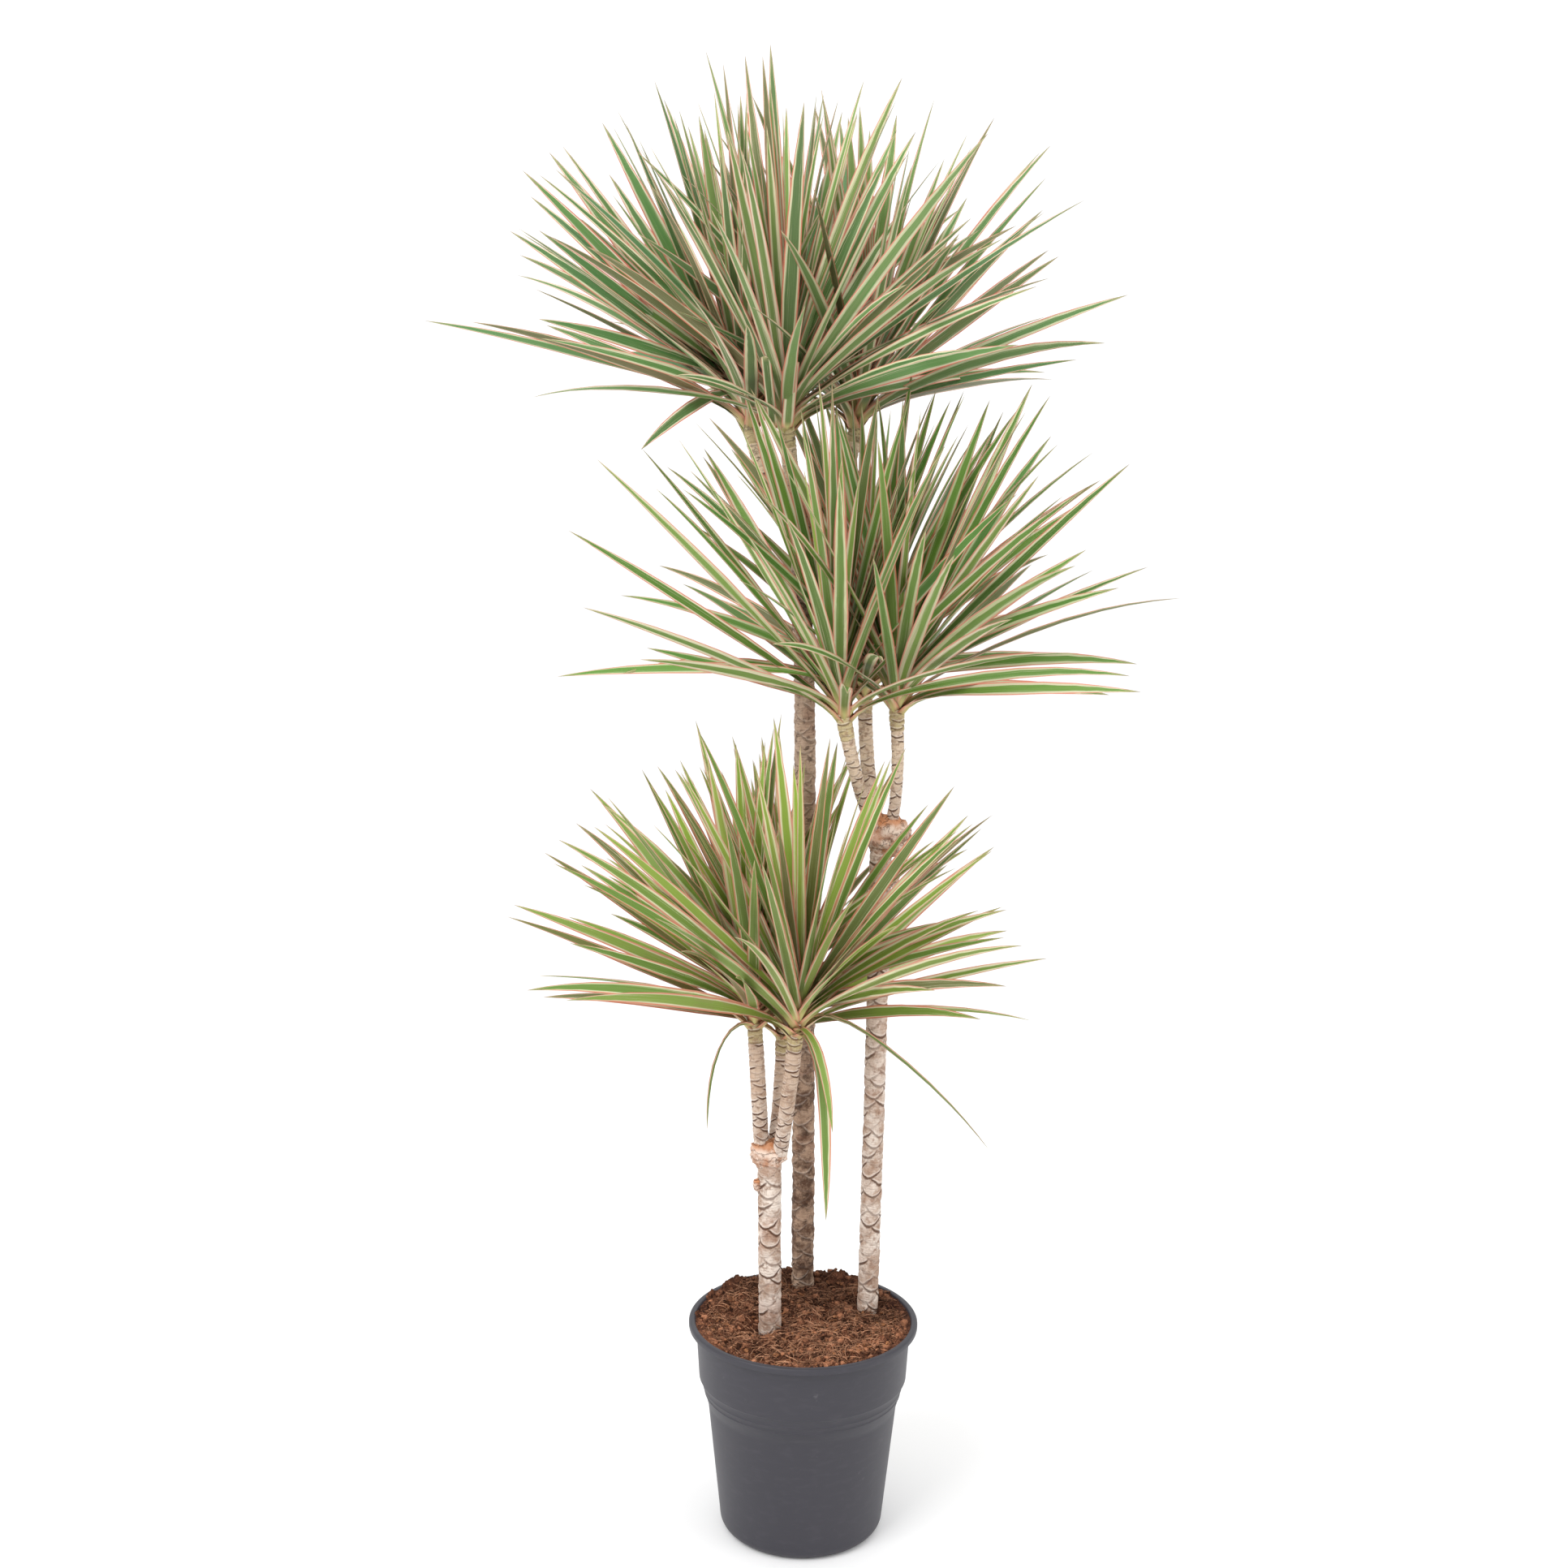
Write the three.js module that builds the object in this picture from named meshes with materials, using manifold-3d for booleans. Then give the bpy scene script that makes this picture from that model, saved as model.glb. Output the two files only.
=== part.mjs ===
// A potted Dracaena marginata. A charcoal nursery pot of coir soil holds three canes of different heights.
// Each cane ends in a knot that sends up three shoots, and each shoot carries a head of long, narrow leaves.
// Millimetres, +Z up, -Y to the front. The origin is the middle of the pot's foot, on the floor.

import * as THREE from 'three';
import { mergeVertices } from 'three/addons/utils/BufferGeometryUtils.js';
import Module from 'manifold-3d';

const wasm = await Module();
wasm.setup();

// ---- Driving dimensions ----

// Clearance between pieces that touch on the real plant.
const gap = 0.3;

const pot = {
  height: 230,
  rimRadius: 120,
  collarTopRadius: 112.3,
  collarFootRadius: 109,
  collarFootHeight: 167.5,
  bodyTopRadius: 99.5,
  bodyTopHeight: 140,
  bodyFootRadius: 86.2,
  footFillet: 13,
  filletSteps: 2,
  wall: 2,
  lipHeight: 7,
  lipRound: 2.5,
  lipTop: 2,
  floor: 5.5,
  footRingInner: 60,
  padRadius: 18,
  recess: 3,
  recessSlope: 2,
  sides: 30,
};

// Arches in the foot let water out through a hole over each; the first is just right of the front.
const footArch = {
  count: 3,
  firstAzimuth: -66,
  width: 27,
  height: 4,
  length: 30,
  outletRadius: 5,
  outletSides: 10,
};

const soil = {
  level: 223,
  backRise: 12,
  riseFrom: -20,
  riseTo: 105,
  lump: 2.2,
  broadWave: 0.105,
  narrowWave: 0.21,
  rings: [1, 0.82, 0.58, 0.3],
  sectors: 22,
  holeSlack: 1.6,
  holeSides: 14,
};

// Bark: a ring of scars every ringPitch along a cane, each standing out by ringRelief.
const bark = {
  sides: 8,
  shootSides: 6,
  knotFaces: [8, 5],
  budFaces: [6, 4],
  ringPitch: 45,
  ringRelief: 0.8,
  ringStep: 1.6,
  boxSlack: 3,
};

// Each cane: its trunk as [x, y, z, radius] from below the soil to the knot, the knot, its buds and shoots.
// A shoot starts inside the knot, bends at its middle point and ends at the neck that its head grows from.
const canes = [
  {
    name: 'tall',
    leafLength: 330,
    trunk: [[0, 82, 155, 12], [0, 81.5, 240, 12], [-2, 77, 520, 11.6], [-5, 71, 850, 10.8], [-12, 62, 1046, 10]],
    knot: { centre: [-12, 61, 1056], radii: [17, 15, 18] },
    buds: [],
    shoots: [
      {
        head: 'left', leaves: 52, phase: 20,
        path: [[-18, 60, 1060, 8], [-50, 58, 1098, 7.5], [-59, 56, 1136, 8]],
      },
      {
        head: 'front', leaves: 52, phase: 250,
        path: [[-13, 52, 1060, 8], [-22, 8, 1098, 7.5], [-25, -4, 1134, 8]],
      },
      {
        head: 'right', leaves: 52, phase: 130,
        path: [[-4, 64, 1060, 8], [34, 86, 1094, 7.5], [41, 92, 1136, 8]],
      },
    ],
  },
  {
    name: 'mid',
    leafLength: 322,
    trunk: [[69, 34, 155, 11], [69.2, 33.5, 240, 11], [72.3, 30, 480, 11], [74, 27, 736, 11.4]],
    knot: { centre: [74.5, 26, 748], radii: [18, 15, 21] },
    buds: [{ centre: [85, 22, 700], radii: [8, 6, 11] }],
    shoots: [
      {
        head: 'left', leaves: 50, phase: 75,
        path: [[66, 18, 752, 7], [50, -2, 786, 6], [36, -16, 852, 7]],
      },
      {
        head: 'back', leaves: 46, phase: 210,
        path: [[70, 34, 752, 8], [59, 60, 790, 7], [57, 66, 864, 7.5]],
      },
      {
        head: 'right', leaves: 50, phase: 320,
        path: [[83, 24, 752, 6.5], [91, 12, 790, 5.4], [87, 10, 858, 6.8]],
      },
    ],
  },
  {
    name: 'short',
    leafLength: 298,
    trunk: [[-35, -9, 155, 11.6], [-35, -9.5, 240, 11.8], [-36, -12, 320, 11.9], [-36.5, -14, 408, 12.5]],
    knot: { centre: [-37, -14, 417], radii: [16.5, 14.5, 15] },
    buds: [{ centre: [-49, -18, 383], radii: [4.5, 4, 7] }],
    shoots: [
      {
        head: 'left', leaves: 48, phase: 50,
        path: [[-45, -14, 420, 8], [-48, -10, 470, 8], [-52, -8, 533, 8]],
      },
      {
        head: 'right', leaves: 46, phase: 170,
        path: [[-26, -20, 420, 8], [-20, -42, 465, 7.5], [-13, -52, 540, 8]],
      },
      {
        head: 'back', leaves: 46, phase: 285,
        path: [[-33, -4, 420, 6], [-28, 26, 460, 5.5], [-25, 32, 511, 7]],
      },
    ],
  },
];

// Leaves that stand out of a crown's outline: the tip [x, y, z] of each, and by how many degrees it droops.
const outlineLeaves = {
  tall_left: [
    [-380, 20, 1250, 8], [-270, 0, 1280, 6], [-280, -30, 1330, 6], [-280, 30, 1390, 5], [-250, 80, 1400, 5],
    [-200, 60, 1440, 4], [-170, 0, 1420, 4], [-140, 60, 1450, 3], [-100, 40, 1470, 3], [-270, 90, 1250, 8],
  ],
  tall_front: [[-70, 20, 1500, 0], [-30, 0, 1450, 2], [20, -20, 1450, 3], [190, -60, 1230, 12]],
  tall_right: [
    [300, 0, 1280, 8], [260, 50, 1220, 9], [240, 60, 1320, 6], [230, 120, 1370, 5], [220, 20, 1390, 5],
    [160, 200, 1390, 5], [130, 130, 1420, 3], [90, 50, 1420, 3], [80, 110, 1460, 2], [30, 60, 1450, 2],
  ],
  mid_left: [
    [-130, -40, 1140, 4], [-170, 30, 1130, 4], [-210, -20, 1120, 4], [-240, 0, 1050, 5], [-220, -60, 980, 8],
    [-250, -20, 910, 10], [-180, 20, 830, 14], [-160, -140, 940, 9],
  ],
  mid_back: [[150, 60, 1190, 3], [120, 30, 1190, 2], [250, 120, 920, 10]],
  mid_right: [
    [300, 20, 890, 12], [330, 0, 1020, 9], [290, 90, 1010, 8], [260, -60, 1040, 7], [310, 10, 1120, 5],
    [210, -80, 1110, 5], [190, 60, 1170, 4], [170, 0, 1180, 3],
  ],
  short_left: [
    [-300, -40, 670, 8], [-300, 10, 670, 7], [-260, -60, 740, 6], [-280, -30, 560, 12], [-280, 30, 590, 10],
    [-200, -30, 790, 4], [-170, 20, 810, 4], [-100, -40, 450, 10],
  ],
  short_right: [
    [240, -30, 630, 10], [190, -60, 690, 8], [160, 0, 770, 5], [140, -60, 810, 4], [80, -20, 830, 3],
    [20, -105, 380, 6], [25, -115, 475, 8], [186, -50, 434, 16],
  ],
  short_back: [
    [210, 60, 670, 8], [40, 40, 830, 3], [-50, 30, 840, 2], [-110, 60, 820, 3],
  ],
};

// A head: leaves wind up the leafy top of the shoot by the golden angle, the oldest lowest and most spread.
const head = {
  lowestRoot: 12,
  zone: 66,
  coreTop: 78,
  coreSides: 4,
  coreRadius: 11,
  coreTopRadius: 5,
  rootDepth: 5,
  keepOut: 20,
  pitches: [12, 88],
  longest: 0.4,
  lengthFall: 0.3,
  pitchJitter: 9,
  azimuthJitter: 12,
  lengthJitter: 0.16,
  droops: [17, 3],
  sweep: 9,
  twist: 60,
  tries: 90,
  azimuthReach: 2,
  pitchReach: 0.3,
};
const goldenAngle = 137.508;

// A blade: half widths and keel depths at its stations, given as steps along it.
const blade = {
  steps: 24,
  stations: [0, 3, 9, 17, 24],
  halfWidths: [2.5, 5.2, 6.6, 6, 0],
  keels: [1.8, 1.7, 1.6, 1.4, 0],
  start: 58,
  bend: 24,
  clearance: 0.8,
};

const colours = {
  potPlastic: 0x454247,
  soil: 0x6b4534,
  brownBark: 0x8a7564,
  paleBark: 0xb5a18c,
  leaf: 0x7d9a5c,
};

// ---- Small helpers ----

const vec = (p) => new THREE.Vector3(p[0], p[1], p[2]);
const rad = THREE.MathUtils.degToRad;

// A seeded random number in 0..1, the same on every run.
function randomFrom(seed) {
  let state = seed;
  return () => {
    state = (1664525 * state + 1013904223) % 4294967296;
    return state / 4294967296;
  };
}

function solidFrom(geometry) {
  const bare = new THREE.BufferGeometry();
  bare.setAttribute('position', geometry.getAttribute('position'));
  bare.setIndex(geometry.getIndex());
  const merged = mergeVertices(bare, 1e-3);
  return new wasm.Manifold(new wasm.Mesh({
    numProp: 3,
    vertProperties: new Float32Array(merged.getAttribute('position').array),
    triVerts: new Uint32Array(merged.getIndex().array),
  }));
}

function geometryFrom(solid) {
  const mesh = solid.getMesh();
  const geometry = new THREE.BufferGeometry();
  geometry.setAttribute('position', new THREE.BufferAttribute(mesh.vertProperties, 3));
  geometry.setIndex(new THREE.BufferAttribute(mesh.triVerts, 1));
  geometry.computeVertexNormals();
  return geometry;
}

// A closed skin over rings of equally many points, in order. An end ring of one point closes on it.
function skin(rings) {
  const positions = [];
  const faces = [];
  const starts = rings.map((ring) => {
    const start = positions.length / 3;
    ring.forEach((p) => positions.push(p.x, p.y, p.z));
    return start;
  });
  for (let r = 0; r + 1 < rings.length; r += 1) {
    const count = Math.max(rings[r].length, rings[r + 1].length);
    for (let i = 0; i < count; i += 1) {
      const j = (i + 1) % count;
      const low = (k) => starts[r] + (rings[r].length === 1 ? 0 : k);
      const high = (k) => starts[r + 1] + (rings[r + 1].length === 1 ? 0 : k);
      if (rings[r].length > 1) faces.push(low(i), low(j), high(i));
      if (rings[r + 1].length > 1) faces.push(low(j), high(j), high(i));
    }
  }
  const first = starts[0];
  const last = starts[rings.length - 1];
  for (let i = 1; i + 1 < rings[0].length; i += 1) faces.push(first, first + i + 1, first + i);
  for (let i = 1; i + 1 < rings[rings.length - 1].length; i += 1) faces.push(last, last + i, last + i + 1);
  const geometry = new THREE.BufferGeometry();
  geometry.setAttribute('position', new THREE.Float32BufferAttribute(positions, 3));
  geometry.setIndex(faces);
  return geometry;
}

function ellipsoid(centre, radii, [around, down]) {
  const geometry = new THREE.SphereGeometry(1, around, down);
  geometry.rotateX(Math.PI / 2);
  geometry.scale(radii[0], radii[1], radii[2]);
  geometry.translate(centre[0], centre[1], centre[2]);
  return solidFrom(geometry);
}

// ---- Pot ----

// Outline of the pot's section as [radius, height], from the middle of its underside out, up and back inside.
function potProfile() {
  const outline = [
    [0, 0],
    [pot.padRadius, 0],
    [pot.padRadius + pot.recessSlope, pot.recess],
    [pot.footRingInner - pot.recessSlope, pot.recess],
    [pot.footRingInner, 0],
  ];
  for (let i = 0; i <= pot.filletSteps; i += 1) {
    const a = (i / pot.filletSteps) * Math.PI / 2;
    outline.push([
      pot.bodyFootRadius - pot.footFillet * (1 - Math.sin(a)),
      pot.footFillet * (1 - Math.cos(a)),
    ]);
  }
  const lipFoot = pot.height - pot.lipHeight;
  outline.push(
    [pot.bodyTopRadius, pot.bodyTopHeight],
    [pot.collarFootRadius, pot.collarFootHeight],
    [pot.collarTopRadius, lipFoot],
    [pot.rimRadius - pot.lipRound / 2, lipFoot],
    [pot.rimRadius, lipFoot + pot.lipRound],
    [pot.rimRadius - pot.lipRound, pot.height],
    [pot.rimRadius - pot.lipRound - pot.lipTop, pot.height],
    [pot.collarTopRadius - pot.wall, lipFoot],
    [pot.collarFootRadius - pot.wall, pot.collarFootHeight],
    [pot.bodyTopRadius - pot.wall, pot.bodyTopHeight],
    [pot.bodyFootRadius - pot.wall, pot.footFillet],
    [pot.bodyFootRadius - pot.footFillet / 2, pot.floor],
    [0, pot.floor],
  );
  return outline.map(([r, z]) => new THREE.Vector2(r, z));
}

function makePot() {
  const shell = new THREE.LatheGeometry(potProfile(), pot.sides);
  shell.rotateX(Math.PI / 2);
  let solid = solidFrom(shell);
  for (let i = 0; i < footArch.count; i += 1) {
    const azimuth = rad(footArch.firstAzimuth + (i * 360) / footArch.count);
    const arch = new THREE.BoxGeometry(footArch.length, footArch.width, 2 * footArch.height);
    arch.translate(pot.footRingInner + footArch.length / 2, 0, 0);
    arch.rotateZ(azimuth);
    const { outletRadius, outletSides } = footArch;
    const outlet = new THREE.CylinderGeometry(outletRadius, outletRadius, 4 * pot.floor, outletSides);
    outlet.rotateX(Math.PI / 2);
    outlet.translate(pot.footRingInner + 2 * outletRadius, 0, pot.floor);
    outlet.rotateZ(azimuth);
    solid = solid.subtract(solidFrom(arch)).subtract(solidFrom(outlet));
  }
  return solid;
}

// ---- Soil ----

// Height of the soil's surface: it rises gently to the back and is lumpy all over.
function soilHeight(x, y) {
  const back = THREE.MathUtils.smoothstep(y, soil.riseFrom, soil.riseTo);
  const broad = Math.sin(x * soil.broadWave + 1) * Math.cos(y * soil.broadWave - 0.6);
  const narrow = Math.sin((x - y) * soil.narrowWave + 2.4);
  return soil.level + soil.backRise * back + soil.lump * (broad + 0.6 * narrow);
}

// Inner radius of the pot's wall at a height.
function potInside(z) {
  const stretches = [
    [pot.footFillet, pot.bodyFootRadius], [pot.bodyTopHeight, pot.bodyTopRadius],
    [pot.collarFootHeight, pot.collarFootRadius], [pot.height - pot.lipHeight, pot.collarTopRadius],
  ];
  const last = stretches.length - 1;
  let i = 0;
  while (i < last - 1 && z > stretches[i + 1][0]) i += 1;
  const t = Math.min((z - stretches[i][0]) / (stretches[i + 1][0] - stretches[i][0]), 1);
  return THREE.MathUtils.lerp(stretches[i][1], stretches[i + 1][1], t) - pot.wall;
}

function makeSoil() {
  const flatCorner = Math.cos(Math.PI / pot.sides);
  const ring = (radius, height) => Array.from({ length: soil.sectors }, (_, i) => {
    const a = (i / soil.sectors) * 2 * Math.PI;
    const x = radius * Math.cos(a);
    const y = radius * Math.sin(a);
    return new THREE.Vector3(x, y, height === null ? soilHeight(x, y) : height);
  });
  const edgeFoot = soil.level - 2 * soil.lump - gap;
  const wallHeights = [pot.footFillet, pot.bodyTopHeight, pot.collarFootHeight, edgeFoot];
  const edge = potInside(pot.height) * flatCorner - gap;
  const rings = [
    [new THREE.Vector3(0, 0, pot.floor + gap)],
    ring((pot.bodyFootRadius - pot.footFillet / 2) * flatCorner - 1, pot.floor + gap),
    ...wallHeights.map((z) => ring(potInside(z) * flatCorner - gap, z)),
    ...soil.rings.map((share) => ring(edge * share, null)),
    [new THREE.Vector3(0, 0, soilHeight(0, 0))],
  ];
  let solid = solidFrom(skin(rings));
  canes.forEach((cane) => {
    const [x, y, bottom] = cane.trunk[0];
    const radius = cane.trunk[1][3] + bark.ringRelief + soil.holeSlack;
    const depth = 2 * (pot.height - bottom);
    const hole = new THREE.CylinderGeometry(radius, radius, depth, soil.holeSides);
    hole.rotateX(Math.PI / 2);
    hole.translate(x, y, bottom - gap + depth / 2);
    solid = solid.subtract(solidFrom(hole));
  });
  return solid;
}

// ---- Canes ----

// Evenly spaced places on a cane's line, each with its direction and radius. A trunk runs through its points;
// a shoot leaves its first point towards its second and arrives at its third from there.
function placesOn(points, count) {
  const [first, ...others] = points.map(vec);
  const curve = points.length === 3
    ? new THREE.QuadraticBezierCurve3(first, ...others)
    : new THREE.CatmullRomCurve3([first, ...others]);
  return Array.from({ length: count + 1 }, (_, i) => {
    const at = curve.getPointAt(i / count);
    const from = points.slice(1, -1).filter((point) => point[2] < at.z).length;
    const [low, high] = [points[from], points[from + 1]];
    const radius = THREE.MathUtils.mapLinear(at.z, low[2], high[2], low[3], high[3]);
    return { at, along: curve.getTangentAt(i / count), radius };
  });
}

function sectionRing(at, along, radius, sides) {
  const right = new THREE.Vector3(1, 0, 0).addScaledVector(along, -along.x).normalize();
  const back = new THREE.Vector3().crossVectors(along, right);
  return Array.from({ length: sides }, (_, i) => {
    const a = (i / sides) * 2 * Math.PI;
    const spoke = right.clone().multiplyScalar(Math.cos(a)).addScaledVector(back, Math.sin(a));
    return at.clone().addScaledVector(spoke, radius);
  });
}

// A limb with a scar at each ring: the bark swells up to the scar and steps back above it.
function limb(points, sides) {
  const span = vec(points[0]).distanceTo(vec(points[points.length - 1]));
  const count = Math.round(span / bark.ringPitch);
  const rings = [];
  placesOn(points, count).forEach(({ at, along, radius }, i) => {
    const inner = i < count;
    if (i > 0) rings.push(sectionRing(at, along, radius + (inner ? bark.ringRelief : 0), sides));
    if (inner) {
      const above = at.clone().addScaledVector(along, i > 0 ? bark.ringStep : 0);
      rings.push(sectionRing(above, along, radius, sides));
    }
  });
  return solidFrom(skin(rings));
}

function makeCane(cane) {
  const pieces = [
    limb(cane.trunk, bark.sides),
    ellipsoid(cane.knot.centre, cane.knot.radii, bark.knotFaces),
    ...cane.buds.map((bud) => ellipsoid(bud.centre, bud.radii, bark.budFaces)),
    ...cane.shoots.map((shoot) => limb(shoot.path, bark.shootSides)),
  ];
  return wasm.Manifold.union(pieces);
}

// ---- Boxes that keep leaves apart ----

// A flat or square box round one stretch of a blade or limb.
function boxAround(from, to, side, halfWidth, halfDepth, owner, nearRoot) {
  const along = new THREE.Vector3().subVectors(to, from);
  const halfLength = along.length() / 2;
  along.normalize();
  const across = side.clone().addScaledVector(along, -side.dot(along)).normalize();
  const normal = new THREE.Vector3().crossVectors(along, across);
  return {
    centre: new THREE.Vector3().addVectors(from, to).multiplyScalar(0.5),
    axes: [along, across, normal],
    halves: [halfLength, halfWidth, halfDepth],
    bound: Math.hypot(halfLength, halfWidth, halfDepth),
    owner,
    nearRoot,
  };
}

// Two boxes are clear of each other when their shadows on some line don't meet.
function boxesMeet(a, b, clearance) {
  const between = new THREE.Vector3().subVectors(b.centre, a.centre);
  if (between.length() > a.bound + b.bound + clearance) return false;
  const crossed = a.axes.flatMap((p) => b.axes.map((q) => new THREE.Vector3().crossVectors(p, q)));
  const shadow = (box, line) => box.axes
    .reduce((sum, axis, i) => sum + box.halves[i] * Math.abs(axis.dot(line)), 0);
  return ![...a.axes, ...b.axes, ...crossed].some((line) => (
    line.lengthSq() > 1e-8
    && Math.abs(between.dot(line)) > shadow(a, line) + shadow(b, line) + clearance * line.length()
  ));
}

// ---- Leaves ----

// Points along a blade from its root: it starts steep against the shoot, leans out to its pitch and droops.
function bladeLine(leaf) {
  const step = leaf.length / blade.steps;
  const points = [leaf.root.clone()];
  const start = Math.max(blade.start, leaf.pitch);
  for (let k = 0; k < blade.steps; k += 1) {
    const share = (k + 0.5) / blade.steps;
    const rise = (start - leaf.pitch) * Math.exp((-share * leaf.length) / blade.bend);
    const elevation = rad(leaf.pitch + rise - leaf.droop * share * share);
    const azimuth = rad(leaf.azimuth + leaf.sweep * share);
    const direction = new THREE.Vector3(
      Math.cos(elevation) * Math.cos(azimuth),
      Math.cos(elevation) * Math.sin(azimuth),
      Math.sin(elevation),
    );
    points.push(points[k].clone().addScaledVector(direction, step));
  }
  return points;
}

// The blade's stations, each with its place, its width's direction and its underside's direction.
function bladeFrames(leaf) {
  const points = bladeLine(leaf);
  return blade.stations.map((k) => {
    const along = new THREE.Vector3()
      .subVectors(points[Math.min(k + 1, blade.steps)], points[Math.max(k - 1, 0)])
      .normalize();
    const azimuth = rad(leaf.azimuth);
    const level = new THREE.Vector3(-Math.sin(azimuth), Math.cos(azimuth), 0);
    const flat = level.addScaledVector(along, -level.dot(along)).normalize();
    const across = flat.applyAxisAngle(along, rad((leaf.twist * k) / blade.steps));
    const under = new THREE.Vector3().crossVectors(across, along);
    return { at: points[k], along, across, under };
  });
}

// Boxes round a blade, two for each stretch between stations, as wide and deep as the blade is there.
function bladeBoxes(frames, owner) {
  return frames.slice(1).flatMap((next, i) => {
    const frame = frames[i];
    return [0, 0.5].map((share) => {
      const from = frame.at.clone().lerp(next.at, share);
      const to = frame.at.clone().lerp(next.at, share + 0.5);
      const side = frame.across.clone().lerp(next.across, share + 0.25);
      const widthAt = (t) => THREE.MathUtils.lerp(blade.halfWidths[i], blade.halfWidths[i + 1], t);
      const halfWidth = Math.max(widthAt(share), widthAt(share + 0.5));
      const halfDepth = Math.max(blade.keels[i], blade.keels[i + 1]) / 2;
      return boxAround(from, to, side, halfWidth, halfDepth, owner, i === 0);
    });
  });
}

const degrees = THREE.MathUtils.radToDeg;
const riseOf = (v) => degrees(Math.atan2(v.z, Math.hypot(v.x, v.y)));

// A leaf bent so that its tip lands on a given point: its pitch and length are corrected until they fit.
function bendTo(leaf, tip) {
  const want = vec(tip).sub(leaf.root);
  const bent = { ...leaf, azimuth: degrees(Math.atan2(want.y, want.x)), droop: tip[3], sweep: 0 };
  for (let k = 0; k < 6; k += 1) {
    const got = bladeLine(bent)[blade.steps].sub(leaf.root);
    bent.pitch += riseOf(want) - riseOf(got);
    bent.length *= want.length() / got.length();
  }
  return bent;
}

// Where a leaf starts, just under the skin of its head's core.
function rootAt(shoot, t, azimuth) {
  const out = new THREE.Vector3(Math.cos(rad(azimuth)), Math.sin(rad(azimuth)), 0);
  const height = THREE.MathUtils.lerp(head.lowestRoot, head.zone, t);
  const radius = THREE.MathUtils.lerp(head.coreRadius, head.coreTopRadius, t) - head.rootDepth;
  return shoot.neck.clone().addScaledVector(shoot.axis, height).addScaledVector(out, Math.max(radius, 0));
}

// One draw of the leaf at place t in its head's winding: 0 is the oldest and lowest, 1 the youngest.
function drawLeaf(shoot, index, random, attempt) {
  const t = index / (shoot.leaves - 1);
  const [r1, r2, r3, r4, r5, r6] = [random(), random(), random(), random(), random(), random()];
  const lift = (r2 - 0.5) * head.pitchJitter + attempt * head.pitchReach;
  const pitch = THREE.MathUtils.lerp(head.pitches[0], head.pitches[1], t) + lift;
  const swing = head.azimuthJitter + attempt * head.azimuthReach;
  const azimuth = shoot.phase + index * goldenAngle + (r1 - 0.5) * swing;
  const fullness = 1 - head.lengthFall * Math.abs(t - head.longest);
  return {
    root: rootAt(shoot, t, azimuth),
    azimuth,
    pitch: Math.min(pitch, head.pitches[1]),
    length: shoot.leafLength * fullness * (1 + (r3 - 0.5) * head.lengthJitter),
    droop: THREE.MathUtils.lerp(head.droops[0], head.droops[1], t) * (0.5 + r4),
    sweep: (r5 - 0.5) * head.sweep,
    twist: (r6 - 0.5) * head.twist,
  };
}

// The leaves of a head that reach for the outline: for each tip, the free leaf that points nearest to it.
function reachingLeaves(shoot) {
  const even = () => 0.5;
  const chosen = new Map();
  outlineLeaves[shoot.name].forEach((tip) => {
    const away = (index) => {
      const leaf = drawLeaf(shoot, index, even, 0);
      const want = vec(tip).sub(leaf.root).normalize();
      const pitch = rad(leaf.pitch);
      const azimuth = rad(leaf.azimuth);
      const points = new THREE.Vector3(
        Math.cos(pitch) * Math.cos(azimuth),
        Math.cos(pitch) * Math.sin(azimuth),
        Math.sin(pitch),
      );
      return points.distanceTo(want);
    };
    const free = Array.from({ length: shoot.leaves }, (_, i) => i).filter((i) => !chosen.has(i));
    const nearest = free.reduce((best, i) => (away(i) < away(best) ? i : best));
    chosen.set(nearest, tip);
  });
  return chosen;
}

const shoots = canes.flatMap((cane) => cane.shoots.map((shoot) => {
  const [, bend, end] = shoot.path;
  return {
    name: `${cane.name}_${shoot.head}`,
    neck: vec(end),
    axis: vec(end).sub(vec(bend)).normalize(),
    neckRadius: end[3],
    leafLength: cane.leafLength,
    leaves: shoot.leaves,
    phase: shoot.phase,
    blades: [],
  };
}));

// Boxes round every stretch of the canes and round each head's core, with room for its own crowded roots.
function caneBoxes() {
  const side = new THREE.Vector3(1, 0, 0);
  const limbs = canes.flatMap((cane) => [cane.trunk, ...cane.shoots.map((shoot) => shoot.path)]);
  const stretches = limbs.flatMap((points) => points.slice(1).map((end, i) => {
    const half = Math.max(points[i][3], end[3]) + bark.boxSlack;
    return boxAround(vec(points[i]), vec(end), side, half, half, 'cane', false);
  }));
  const cores = shoots.map((shoot) => {
    const top = shoot.neck.clone().addScaledVector(shoot.axis, head.coreTop);
    return boxAround(shoot.neck, top, side, head.keepOut, head.keepOut, shoot.name, true);
  });
  return [...stretches, ...cores];
}

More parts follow.
